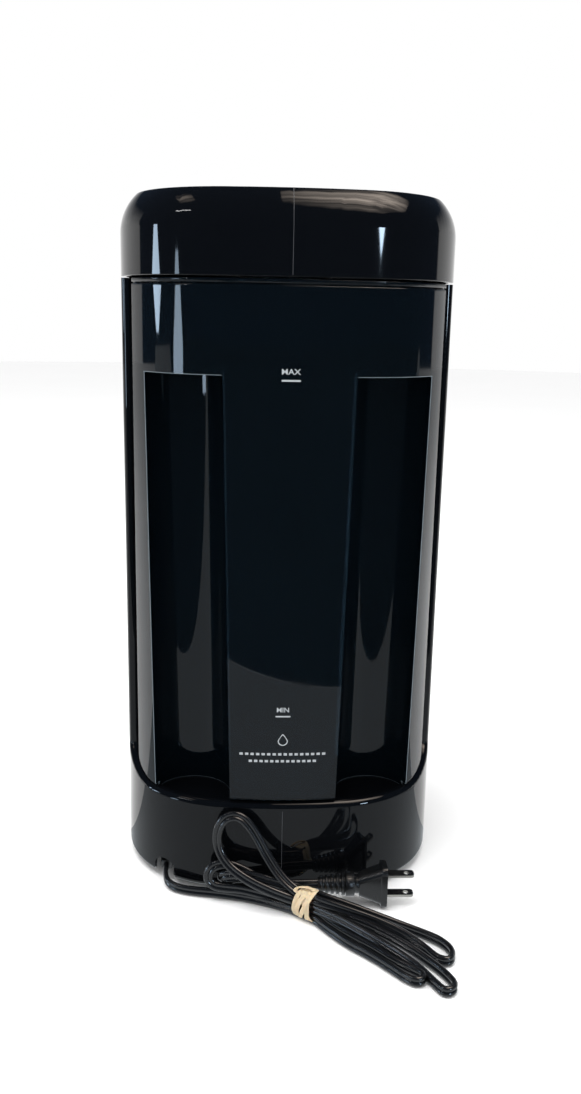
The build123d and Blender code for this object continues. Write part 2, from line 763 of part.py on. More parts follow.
os.makedirs("parts", exist_ok=True)
for piece in PIECES:
    save(piece(), piece.__name__)
save(cord_tube(LEAD, "lead"), "power_cord_lead")
save(cord_tube(LOOP, "loop"), "power_cord_loop")
save(cord_tube(TAIL, "tail"), "power_cord_tail")
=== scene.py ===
"""Looks for a tall cool mist humidifier with a smoked tank and a tied lead."""

import json
import logging
import math
from dataclasses import dataclass, field
from enum import Enum

import bmesh
import bpy
from mathutils import Matrix, Vector

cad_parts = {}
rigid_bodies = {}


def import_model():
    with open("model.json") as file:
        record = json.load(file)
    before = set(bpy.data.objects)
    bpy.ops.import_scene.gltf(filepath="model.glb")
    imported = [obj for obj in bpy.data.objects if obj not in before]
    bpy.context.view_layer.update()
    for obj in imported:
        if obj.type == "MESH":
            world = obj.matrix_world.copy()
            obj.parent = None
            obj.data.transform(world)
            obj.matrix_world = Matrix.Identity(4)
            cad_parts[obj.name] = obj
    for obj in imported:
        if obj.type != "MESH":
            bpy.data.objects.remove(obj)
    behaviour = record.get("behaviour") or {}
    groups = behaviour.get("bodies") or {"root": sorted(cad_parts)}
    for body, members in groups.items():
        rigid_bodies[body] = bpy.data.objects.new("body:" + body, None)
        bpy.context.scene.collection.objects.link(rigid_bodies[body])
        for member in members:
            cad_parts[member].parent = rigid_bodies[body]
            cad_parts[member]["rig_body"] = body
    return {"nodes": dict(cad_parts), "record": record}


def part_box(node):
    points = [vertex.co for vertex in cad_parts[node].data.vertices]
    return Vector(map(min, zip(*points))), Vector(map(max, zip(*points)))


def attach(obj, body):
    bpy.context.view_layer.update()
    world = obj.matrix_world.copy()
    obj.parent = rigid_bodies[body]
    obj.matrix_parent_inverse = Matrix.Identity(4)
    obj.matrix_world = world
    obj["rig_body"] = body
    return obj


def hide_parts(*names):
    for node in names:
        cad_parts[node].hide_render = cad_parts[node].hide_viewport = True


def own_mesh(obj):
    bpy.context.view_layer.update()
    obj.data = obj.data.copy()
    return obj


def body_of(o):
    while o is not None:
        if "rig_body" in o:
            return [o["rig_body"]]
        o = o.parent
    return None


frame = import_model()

LOG = logging.getLogger("humidifier")
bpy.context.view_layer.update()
MM = 0.001
DROP_PINCH = 0.62  # how far a drop's sides draw in towards its point
NODES = frame["nodes"]


def linear(red: int, green: int, blue: int) -> tuple[float, float, float, float]:
    """Turn a screen colour into the linear one that shaders use.

    Args:
        red: Red from 0 to 255.
        green: Green from 0 to 255.
        blue: Blue from 0 to 255.

    Returns:
        The linear colour with an alpha of 1.
    """
    parts = [c / 255 for c in (red, green, blue)]
    flat = [c / 12.92 if c <= 0.04045 else ((c + 0.055) / 1.055) ** 2.4 for c in parts]
    return (flat[0], flat[1], flat[2], 1.0)


class Pull(Enum):
    """Ways in which a brushed or moulded grain is drawn out."""

    NONE = (1.0, 1.0, 1.0)
    ALONG_X = (0.04, 1.0, 1.0)
    UPRIGHT = (1.0, 1.0, 0.04)


class ShaderBench:
    """A node material that is put together one step at a time."""

    def __init__(self, name: str) -> None:
        """Start a material with its Principled shader.

        Args:
            name: The material's name.
        """
        self.material = bpy.data.materials.new(name)
        self.material.use_nodes = True
        self.tree = self.material.node_tree
        self.shader = self.tree.nodes["Principled BSDF"]

    def add(self, kind: str, **values: object) -> bpy.types.Node:
        """Add a node and set its named inputs or its own settings.

        Args:
            kind: The node's type name, without its ShaderNode prefix.
            values: Input values by name, with _ for a space, or node settings.

        Returns:
            The new node.
        """
        node = self.tree.nodes.new(f"ShaderNode{kind}")
        for key, value in values.items():
            label = key.replace("_", " ")
            if label in node.inputs:
                node.inputs[label].default_value = value
            else:
                setattr(node, key, value)
        return node

    def link(self, source: bpy.types.NodeSocket, target: bpy.types.NodeSocket) -> None:
        """Join an output to an input."""
        self.tree.links.new(source, target)

    def place(self, pull: Pull = Pull.NONE) -> bpy.types.NodeSocket:
        """Give object coordinates, drawn out along an axis if asked.

        Args:
            pull: The way in which the pattern is drawn out.

        Returns:
            The vector output.
        """
        spot = self.add("TexCoord")
        if pull is Pull.NONE:
            return spot.outputs["Object"]
        move = self.add("Mapping")
        move.inputs["Scale"].default_value = pull.value
        self.link(spot.outputs["Object"], move.inputs["Vector"])
        return move.outputs["Vector"]

    def noise(
        self, scale: float, detail: float = 3.0, pull: Pull = Pull.NONE
    ) -> bpy.types.NodeSocket:
        """Add a noise pattern.

        Args:
            scale: Cycles in a metre.
            detail: Layers of finer noise.
            pull: The way in which it is drawn out.

        Returns:
            The noise's value output.
        """
        node = self.add("TexNoise", Scale=scale, Detail=detail)
        self.link(self.place(pull), node.inputs["Vector"])
        return node.outputs["Fac"]

    def span(
        self,
        value: bpy.types.NodeSocket,
        start: tuple[float, float],
        end: tuple[float, float],
    ) -> bpy.types.NodeSocket:
        """Carry a value from one range to another, held at both ends.

        Args:
            value: The value to carry over.
            start: Its lowest and highest number.
            end: The numbers that they become.

        Returns:
            The new value.
        """
        node = self.add("MapRange")
        self.link(value, node.inputs["Value"])
        for label, number in zip(
            ("From Min", "From Max", "To Min", "To Max"), (*start, *end)
        ):
            node.inputs[label].default_value = number
        return node.outputs["Result"]

    def blend(
        self,
        share: bpy.types.NodeSocket,
        low: tuple[float, float, float, float],
        high: tuple[float, float, float, float],
    ) -> bpy.types.NodeSocket:
        """Mix two colours by a value.

        Args:
            share: The value that mixes them.
            low: The colour at 0.
            high: The colour at 1.

        Returns:
            The mixed colour.
        """
        node = self.add("Mix", data_type="RGBA")
        self.link(share, node.inputs[0])
        node.inputs[6].default_value = low
        node.inputs[7].default_value = high
        return node.outputs[2]

    def relief(
        self, height: bpy.types.NodeSocket, strength: float, depth: float
    ) -> None:
        """Bump the surface by a height, on top of any bump there already.

        Args:
            height: The height value.
            strength: How strongly it shows.
            depth: The height's depth in metres.
        """
        node = self.add("Bump", Strength=strength, Distance=depth)
        socket = self.shader.inputs["Normal"]
        if socket.is_linked:
            self.link(socket.links[0].from_socket, node.inputs["Normal"])
        self.link(height, node.inputs["Height"])
        self.link(node.outputs["Normal"], socket)

    def specks(self, scale: float, size: float) -> bpy.types.NodeSocket:
        """Scatter small specks.

        Args:
            scale: Cells in a metre.
            size: Speck size as a share of a cell.

        Returns:
            1 on a speck and 0 elsewhere.
        """
        cells = self.add("TexVoronoi", Scale=scale)
        self.link(self.place(), cells.inputs["Vector"])
        return self.span(cells.outputs["Distance"], (size * 0.6, size), (1.0, 0.0))

    def set(self, **values: object) -> None:
        """Set the shader's own sockets, with _ for a space in a name."""
        for key, value in values.items():
            self.shader.inputs[key.replace("_", " ")].default_value = value

    def feed(self, label: str, source: bpy.types.NodeSocket) -> None:
        """Join a pattern to one of the shader's sockets."""
        self.link(source, self.shader.inputs[label])


@dataclass(frozen=True)
class GlossShell:
    """High gloss moulding with a faint ripple, hazy wiping marks and settled dust."""

    name: str
    colour: tuple[float, float, float, float]
    roughness: float = 0.035
    haze: float = 0.09
    ripple: float = 0.02
    dust: float = 0.03

    def make(self) -> bpy.types.Material:
        """Build the material."""
        bench = ShaderBench(self.name)
        tint = bench.blend(
            bench.noise(9.0), self.colour, tuple(c * 1.5 for c in self.colour)
        )
        dusty = bench.add("Mix", data_type="RGBA")
        grains = bench.add("Math", operation="MULTIPLY")
        bench.link(bench.specks(420.0, 0.07), grains.inputs[0])
        bench.link(
            bench.span(bench.noise(24.0), (0.5, 0.75), (0.0, 1.0)), grains.inputs[1]
        )
        bench.link(grains.outputs[0], dusty.inputs[0])
        bench.link(tint, dusty.inputs[6])
        dusty.inputs[7].default_value = (self.dust, self.dust, self.dust, 1.0)
        bench.feed("Base Color", dusty.outputs[2])
        wiped = bench.noise(14.0, 5.0, Pull.UPRIGHT)
        bench.feed(
            "Roughness",
            bench.span(wiped, (0.45, 0.8), (self.roughness, self.haze)),
        )
        bench.relief(bench.noise(38.0, 1.0), self.ripple, 0.0004)
        bench.set(IOR=1.41)
        return bench.material


@dataclass(frozen=True)
class SmokedClear:
    """Smoked clear moulding that lets a little tinted light through."""

    name: str
    colour: tuple[float, float, float, float]
    roughness: float = 0.03
    through: float = 0.85

    def make(self) -> bpy.types.Material:
        """Build the material."""
        bench = ShaderBench(self.name)
        deep = tuple(c * 0.7 for c in self.colour[:3]) + (1.0,)
        bench.feed("Base Color", bench.blend(bench.noise(11.0), deep, self.colour))
        streaks = bench.noise(20.0, 4.0, Pull.UPRIGHT)
        bench.feed(
            "Roughness",
            bench.span(streaks, (0.5, 0.85), (self.roughness, self.roughness * 2.5)),
        )
        bench.relief(bench.noise(26.0, 1.0), 0.006, 0.0004)
        bench.relief(bench.specks(330.0, 0.05), 0.25, 0.00005)
        bench.set(IOR=1.43, Transmission_Weight=self.through)
        return bench.material


@dataclass(frozen=True)
class SatinMoulding:
    """Moulded plastic or rubber with a fine spark-eroded grain."""

    name: str
    colour: tuple[float, float, float, float]
    roughness: float = 0.45
    grain: float = 900.0
    relief: float = 0.12
    coat: float = 0.0

    def make(self) -> bpy.types.Material:
        """Build the material."""
        bench = ShaderBench(self.name)
        pale = tuple(min(1.0, c * 1.35 + 0.002) for c in self.colour[:3]) + (1.0,)
        bench.feed("Base Color", bench.blend(bench.noise(35.0), self.colour, pale))
        bench.feed(
            "Roughness",
            bench.span(
                bench.noise(60.0, 4.0),
                (0.3, 0.75),
                (self.roughness * 0.85, min(1.0, self.roughness * 1.2)),
            ),
        )
        bench.relief(bench.noise(self.grain, 2.0), self.relief, 0.00015)
        bench.set(Coat_Weight=self.coat, Coat_Roughness=0.2)
        return bench.material


@dataclass(frozen=True)
class DrawnMetal:
    """Metal with fine draw or brush lines and light handling marks."""

    name: str
    colour: tuple[float, float, float, float]
    roughness: float = 0.22
    pull: Pull = Pull.ALONG_X

    def make(self) -> bpy.types.Material:
        """Build the material."""
        bench = ShaderBench(self.name)
        dull = tuple(c * 0.72 for c in self.colour[:3]) + (1.0,)
        lines = bench.noise(1800.0, 3.0, self.pull)
        bench.feed("Base Color", bench.blend(bench.noise(180.0), dull, self.colour))
        bench.feed(
            "Roughness",
            bench.span(lines, (0.3, 0.7), (self.roughness * 0.7, self.roughness * 1.6)),
        )
        bench.relief(lines, 0.15, 0.00003)
        bench.set(Metallic=1.0)
        return bench.material


@dataclass(frozen=True)
class BoardLaminate:
    """Circuit board with printed tracks and solder-mask sheen."""

    name: str
    mask: tuple[float, float, float, float]
    track: tuple[float, float, float, float]

    def make(self) -> bpy.types.Material:
        """Build the material."""
        bench = ShaderBench(self.name)
        cells = bench.add("TexVoronoi", Scale=190.0, distance="MANHATTAN")
        bench.link(bench.place(), cells.inputs["Vector"])
        lanes = bench.span(cells.outputs["Distance"], (0.34, 0.38), (0.0, 1.0))
        bench.feed("Base Color", bench.blend(lanes, self.mask, self.track))
        bench.feed(
            "Roughness", bench.span(bench.noise(200.0), (0.3, 0.7), (0.25, 0.45))
        )
        bench.relief(lanes, 0.3, 0.00004)
        return bench.material


@dataclass(frozen=True)
class PrintedInk:
    """Pad-printed ink, a little uneven where it took."""

    name: str
    colour: tuple[float, float, float, float]

    def make(self) -> bpy.types.Material:
        """Build the material."""
        bench = ShaderBench(self.name)
        worn = tuple(c * 0.7 for c in self.colour[:3]) + (1.0,)
        bench.feed(
            "Base Color", bench.blend(bench.noise(900.0, 4.0), worn, self.colour)
        )
        bench.feed(
            "Roughness", bench.span(bench.noise(500.0), (0.3, 0.7), (0.45, 0.65))
        )
        bench.relief(bench.noise(1600.0), 0.1, 0.00003)
        return bench.material


@dataclass(frozen=True)
class BandRubber:
    """Natural rubber band with stretch lines across it."""

    name: str
    colour: tuple[float, float, float, float]

    def make(self) -> bpy.types.Material:
        """Build the material."""
        bench = ShaderBench(self.name)
        dark = tuple(c * 0.62 for c in self.colour[:3]) + (1.0,)
        lines = bench.noise(700.0, 4.0, Pull.UPRIGHT)
        bench.feed("Base Color", bench.blend(lines, dark, self.colour))
        bench.feed("Roughness", bench.span(lines, (0.3, 0.7), (0.42, 0.62)))
        bench.relief(lines, 0.35, 0.0002)
        bench.set(
            Subsurface_Weight=0.25,
            Subsurface_Radius=(0.9, 0.5, 0.25),
            Subsurface_Scale=0.002,
        )
        return bench.material


@dataclass(frozen=True)
class PaleGround:
    """Plain pale table surface with a hardly visible tone in it."""

    name: str
    colour: tuple[float, float, float, float]

    def make(self) -> bpy.types.Material:
        """Build the material."""
        bench = ShaderBench(self.name)
        soft = tuple(c * 0.98 for c in self.colour[:3]) + (1.0,)
        bench.feed("Base Color", bench.blend(bench.noise(3.0), soft, self.colour))
        bench.set(Roughness=0.9, Specular_IOR_Level=0.1)
        return bench.material


class Palette:
    """Every finish of the object, made once."""

    def __init__(self) -> None:
        """Make the finishes."""
        black = linear(5, 6, 8)
        self.gloss = GlossShell("shell gloss black", black).make()
        self.rim = GlossShell("housing gloss black", black, haze=0.07).make()
        self.tank = SmokedClear("smoked tank wall", (0.010, 0.021, 0.033, 1.0)).make()
        # Painted highlight: the parting lines are the shell's black plastic, drawn mid
        # grey for the light that their edges catch.
        self.seam = SatinMoulding("seam painted highlight", linear(58, 60, 64), 0.35).make()
        # Painted highlight: a pale grey skin over the rounded channel lips stands in
        # for the light that they catch.
        self.lip = SatinMoulding("painted lip highlight", linear(104, 116, 124), 0.3).make()
        self.satin = SatinMoulding("satin black moulding", linear(20, 21, 23)).make()
        self.grey = SatinMoulding("grey moulding", linear(112, 116, 120), 0.5).make()
        self.clear = SmokedClear(
            "clear moulding", (0.86, 0.9, 0.9, 1.0), through=0.9
        ).make()
        self.rubber = SatinMoulding(
            "black rubber", linear(24, 24, 25), 0.7, 1400.0, 0.2
        ).make()
        self.silicone = SatinMoulding(
            "milky silicone", linear(196, 200, 200), 0.4
        ).make()
        self.board = BoardLaminate(
            "board laminate", linear(18, 74, 44), linear(70, 140, 90)
        ).make()
        self.aluminium = DrawnMetal("drawn aluminium", linear(196, 199, 203)).make()
        self.steel = DrawnMetal("screw steel", linear(168, 170, 174), 0.28).make()
        self.nickel = DrawnMetal("nickel plate", linear(214, 210, 202), 0.16).make()
        self.cord = SatinMoulding(
            "lead sheath", linear(7, 8, 10), 0.24, 1500.0, 0.04, 0.7
        ).make()
        self.plug = SatinMoulding(
            "plug moulding", linear(7, 8, 9), 0.3, 1300.0, 0.06, 0.7
        ).make()
        self.band = BandRubber("band rubber", linear(226, 203, 168)).make()
        self.ceramic = SatinMoulding("fired ceramic", linear(222, 218, 206), 0.3).make()
        self.ink = PrintedInk("level print", linear(176, 182, 186)).make()

    def by_slot(self) -> dict[str, bpy.types.Material]:
        """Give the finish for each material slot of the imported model."""
        return {
            "gloss_black": self.gloss,
            "smoked_tank": self.tank,
            "satin_black": self.satin,
            "grey_plastic": self.grey,
            "clear_plastic": self.clear,
            "black_rubber": self.rubber,
            "clear_silicone": self.silicone,
            "circuit_board": self.board,
            "aluminium": self.aluminium,
            "steel": self.steel,
            "nickel": self.nickel,
            "cord_black": self.cord,
            "band_beige": self.band,
            "ceramic": self.ceramic,
        }


def piece_from(
    shape: bmesh.types.BMesh,
    name: str,
    material: bpy.types.Material | None,
    smooth: bool = True,
    crease: float = 35.0,
) -> bpy.types.Object:
    """Turn a bmesh into an object at the origin, smooth but for its hard edges.

    Args:
        shape: The finished bmesh, which is freed.
        name: The piece's name.
        material: The finish, or None to keep the slots as they are.
        smooth: Whether the faces shade smooth.
        crease: The angle in degrees past which an edge stays hard.

    Returns:
        The new object.
    """
    mesh = bpy.data.meshes.new(name)
    shape.to_mesh(mesh)
    shape.free()
    if material is not None:
        mesh.materials.append(material)
    if smooth:
        mesh.shade_smooth()
        mesh.set_sharp_from_angle(angle=math.radians(crease))
    piece = bpy.data.objects.new(name, mesh)
    bpy.context.scene.collection.objects.link(piece)
    return piece


@dataclass
class Studio:
    """Camera, pale ground, soft lights and the cards that only gloss shows."""

    eye: tuple[float, float, float] = (-0.02378, -0.64460, 0.34707)
    heading: float = 0.0464
    pitch: float = 0.2317
    roll: float = 0.0202
    lens: float = 33.036
    ground_radius: float = 6.0
    wall_bright: float = 1.05
    wall_start: float = 0.325
    wall_blend: float = 0.03
    wall_top: float = 0.42
    wall_fade: float = -0.25
    room_dark: tuple[float, float, float] = (0.03, 0.046, 0.075)
    fill: float = 1.08
    card_distance: float = 2.4
    card_reach: float = 9.0
    card_waist: float = 0.4
    ground_card_z: float = 0.002
    table_card_z: float = 0.0015
    fold_scale: float = 3.4
    fold_detail: float = 4.0

    def set_camera(self) -> None:
        """Place the camera at the viewing angle."""
        ahead = Vector(
            (
                math.sin(self.heading) * math.cos(self.pitch),
                math.cos(self.heading) * math.cos(self.pitch),
                -math.sin(self.pitch),
            )
        )
        level = Vector((math.cos(self.heading), -math.sin(self.heading), 0.0))
        top = level.cross(ahead)
        right = level * math.cos(self.roll) + top * math.sin(self.roll)
        up = top * math.cos(self.roll) - level * math.sin(self.roll)
        turn = Matrix((right, up, -ahead)).transposed().to_4x4()
        data = bpy.data.cameras.new("camera")
        data.lens = self.lens
        data.sensor_width = 36.0
        data.clip_start = 0.01
        data.clip_end = 50.0
        camera = bpy.data.objects.new("camera", data)
        camera.matrix_world = Matrix.Translation(self.eye) @ turn
        bpy.context.scene.collection.objects.link(camera)
        bpy.context.scene.camera = camera
        LOG.info("camera set")

    def lay_ground(self) -> None:
        """Lay the pale ground that the object stands on."""
        shape = bmesh.new()
        bmesh.ops.create_circle(
            shape, cap_ends=True, radius=self.ground_radius, segments=96
        )
        finish = PaleGround("pale ground", (0.9, 0.9, 0.9, 1.0)).make()
        ground = piece_from(shape, "ground", finish, smooth=False)
        LOG.info("ground laid")

    def set_surround(self) -> None:
        """Give a white surround, with a bright wall behind and a dim room for gloss."""
        scene = bpy.context.scene
        scene.view_settings.view_transform = "Standard"
        world = bpy.data.worlds.new("surround")
        world.use_nodes = True
        scene.world = world
        tree = world.node_tree
        paint = tree.nodes["Background"]
        spot = tree.nodes.new("ShaderNodeTexCoord")
        apart = tree.nodes.new("ShaderNodeSeparateXYZ")
        tree.links.new(spot.outputs["Generated"], apart.inputs[0])
        behind = self._step(tree, apart.outputs[1], self.wall_start, self.wall_blend)
        low = self._step(tree, apart.outputs[2], self.wall_top, self.wall_fade)
        share = tree.nodes.new("ShaderNodeMath")
        share.operation = "MULTIPLY"
        tree.links.new(behind, share.inputs[0])
        tree.links.new(low, share.inputs[1])
        bright = (self.wall_bright,) * 3 + (1.0,)
        room = self._mix(tree, share.outputs[0], (*self.room_dark, 1.0), bright)
        rays = tree.nodes.new("ShaderNodeLightPath")
        filled = (self.fill,) * 3 + (1.0,)
        pick = self._mix(tree, rays.outputs["Is Glossy Ray"], filled, room)
        white = (1.0, 1.0, 1.0, 1.0)
        seen = self._mix(tree, rays.outputs["Is Camera Ray"], pick, white)
        tree.links.new(seen, paint.inputs["Color"])
        LOG.info("surround set")

    @staticmethod
    def _mix(
        tree: bpy.types.NodeTree,
        share: bpy.types.NodeSocket,
        *ends: bpy.types.NodeSocket | tuple[float, float, float, float],
    ) -> bpy.types.NodeSocket:
        """Mix two colours of the surround.

        Args:
            tree: The surround's node tree.
            share: How much of the second colour shows.
            ends: The two colours, each a socket or a value.

        Returns:
            The mixed colour.
        """
        node = tree.nodes.new("ShaderNodeMix")
        node.data_type = "RGBA"
        tree.links.new(share, node.inputs[0])
        for socket, end in zip((node.inputs[6], node.inputs[7]), ends):
            if isinstance(end, bpy.types.NodeSocket):
                tree.links.new(end, socket)
            else:
                socket.default_value = end
        return node.outputs[2]

    @staticmethod
    def _step(
        tree: bpy.types.NodeTree,
        value: bpy.types.NodeSocket,
        start: float,
        width: float,
    ) -> bpy.types.NodeSocket:
        """Rise from 0 to 1 past a value, or fall to 0 if the width is negative.

        Args:
            tree: The surround's node tree.
            value: The value that is looked at.
            start: Where the rise begins, or where a fall ends.
            width: How wide the change is.

        Returns:
            The share from 0 to 1.
        """
        node = tree.nodes.new("ShaderNodeMapRange")
        tree.links.new(value, node.inputs["Value"])
        node.inputs["From Min"].default_value = min(start, start + width)
        node.inputs["From Max"].default_value = max(start, start + width)
        if width < 0:
            node.inputs["To Min"].default_value = 1.0
            node.inputs["To Max"].default_value = 0.0
        return node.outputs["Result"]

    def _card(
        self,
        name: str,
        corners: list[tuple[float, float, float]],
        colour: tuple[float, float, float],
        strength: float,
        creased: bool = False,
    ) -> None:
        """Stand a card that only gloss shows.

        Args:
            name: The card's name.
            corners: Its corners in order.
            colour: Its linear colour.
            strength: How bright it is.
            creased: Whether it is a creased cloth, not an even surface.
        """
        shape = bmesh.new()
        shape.faces.new([shape.verts.new(corner) for corner in corners])
        bench = ShaderBench(name)
        bench.set(
            Base_Color=(0.0, 0.0, 0.0, 1.0),
            Specular_IOR_Level=0.0,
            Roughness=1.0,
            Emission_Color=(*colour, 1.0),
            Emission_Strength=strength,
        )
        if creased:
            spots = [Vector(corner) for corner in corners]
            middle = sum(spots, Vector()) / len(spots)
            reach = min((spot - middle).length for spot in spots)
            away = bench.add("VectorMath", operation="DISTANCE")
            bench.link(bench.place(), away.inputs[0])
            away.inputs[1].default_value = middle
            fall = bench.span(away.outputs["Value"], (reach * 0.25, reach), (1.0, 0.0))
            cloth = bench.noise(self.fold_scale, self.fold_detail, Pull.ALONG_X)
            folds = bench.span(cloth, (0.4, 0.6), (0.15, 1.0))
            share = bench.add("Math", operation="MULTIPLY")
            bench.link(fall, share.inputs[0])
            bench.link(folds, share.inputs[1])
            dim = tuple(value / strength for value in self.room_dark) + (1.0,)
            lit = bench.blend(share.outputs[0], dim, (*colour, 1.0))
            bench.feed("Emission Color", lit)
        card = piece_from(shape, name, bench.material, smooth=False)
        card.visible_camera = False
        card.visible_diffuse = False
        card.visible_shadow = False
        card.visible_transmission = False

    def _upright(
        self,
        name: str,
        azimuth: tuple[float, float],
        height: tuple[float, float],
        colour: tuple[float, float, float],
        strength: float,
        taper: float = 1.0,
        foot: float = 1.0,
    ) -> None:
        """Stand an upright card round the object.

        Args:
            name: The card's name.
            azimuth: Its two sides, in degrees from +X towards +Y.
            height: Its foot and top above the ground, in metres.
            colour: Its linear colour.
            strength: How bright it is.
            taper: How wide its top is, as a share of its waist.
            foot: How wide its foot is, as a share of its waist.
        """
        middle = math.radians((azimuth[0] + azimuth[1]) / 2)
        spread = math.radians((azimuth[1] - azimuth[0]) / 2)
        half = self.card_distance * math.tan(spread)
        low, high = height
        waist = low + (high - low) * self.card_waist
        stand = Vector((math.cos(middle), math.sin(middle), 0.0)) * self.card_distance
        along = Vector((-math.sin(middle), math.cos(middle), 0.0))
        corners = []
        for share, tall in (
            (-foot, low),
            (foot, low),
            (1.0, waist),
            (taper, high),
            (-taper, high),
            (-1.0, waist),
        ):
            spot = stand + along * half * share
            corners.append((spot.x, spot.y, tall))
        self._card(name, corners, colour, strength)

    def stand_cards(self) -> None:
        """Stand the windows, the lamp, the ceiling and the near ground."""
        cool, warm = (0.62, 0.80, 1.0), (1.0, 0.86, 0.74)
        for name, azimuth, height, strength, taper, foot in (
            ("left window", (179.5, 190.0), (0.28, 0.62), 15.0, 0.2, 0.3),
            ("near window", (203.8, 214.0), (0.07, 0.50), 9.0, 0.25, 1.0),
            ("lamp at right", (304.0, 313.0), (0.50, 0.80), 40.0, 0.9, 0.1),
        ):
            self._upright(name, azimuth, height, cool, strength, taper, foot)
        ceiling = [(0.0, -1.3, 1.6), (0.8, -1.3, 1.5), (1.4, -0.5, 1.5)]
        ceiling += [(1.0, 0.5, 1.7), (0.0, 0.4, 2.0)]
        self._card("warm ceiling", ceiling, warm, 11.0, creased=True)
        patch = [(-1.5, -0.5, 1.9), (-1.0, -0.7, 1.9)]
        patch += [(-0.8, 0.0, 1.9), (-1.2, 0.1, 1.9)]
        self._card("small ceiling patch", patch, warm, 2.4, creased=True)
        tube = [(-2.0, -0.85, 1.7), (-1.45, -1.2, 1.7)]
        tube += [(-1.43, -1.16, 1.7), (-1.97, -0.81, 1.7)]
        self._card("ceiling tube", tube, (1.0, 1.0, 1.0), 30.0)
        reach = self.card_reach
        edge = [(-reach, -3.0), (0.45, -0.33), (reach, -0.33)]
        far = [(reach, -reach), (-reach, -reach)]
        ground = [(x, y, self.ground_card_z) for x, y in edge + far]
        self._card("dark near ground", ground, (0.03, 0.04, 0.05), 1.0)
        foot = [(-reach, -0.02), (reach, -0.02)]
        table = [(x, y, self.table_card_z) for x, y in edge[::-1] + foot]
        self._card("table near the object", table, (0.94, 1.0, 1.04), 0.58)
        LOG.info("cards stood")

    def hang_lights(self) -> None:
        """Hang the wide soft lights over the object."""
        for name, spot, size, power in (
            ("soft top light", (-0.5, -0.2, 2.0), 1.6, 34.0),
            ("soft back light", (0.7, 0.9, 1.5), 0.9, 9.0),
        ):
            data = bpy.data.lights.new(name, "AREA")
            data.shape = "DISK"
            data.size = size
            data.energy = power
            light = bpy.data.objects.new(name, data)
            light.location = spot
            aim = Vector((0.0, 0.0, 0.2)) - Vector(spot)
            light.rotation_euler = aim.to_track_quat("-Z", "Y").to_euler()
            light.visible_camera = False
            light.visible_glossy = False
            bpy.context.scene.collection.objects.link(light)
        LOG.info("lights hung")

    def build(self) -> None:
        """Set up the whole studio."""
        self.set_camera()
        self.lay_ground()
        self.set_surround()
        self.stand_cards()
        self.hang_lights()


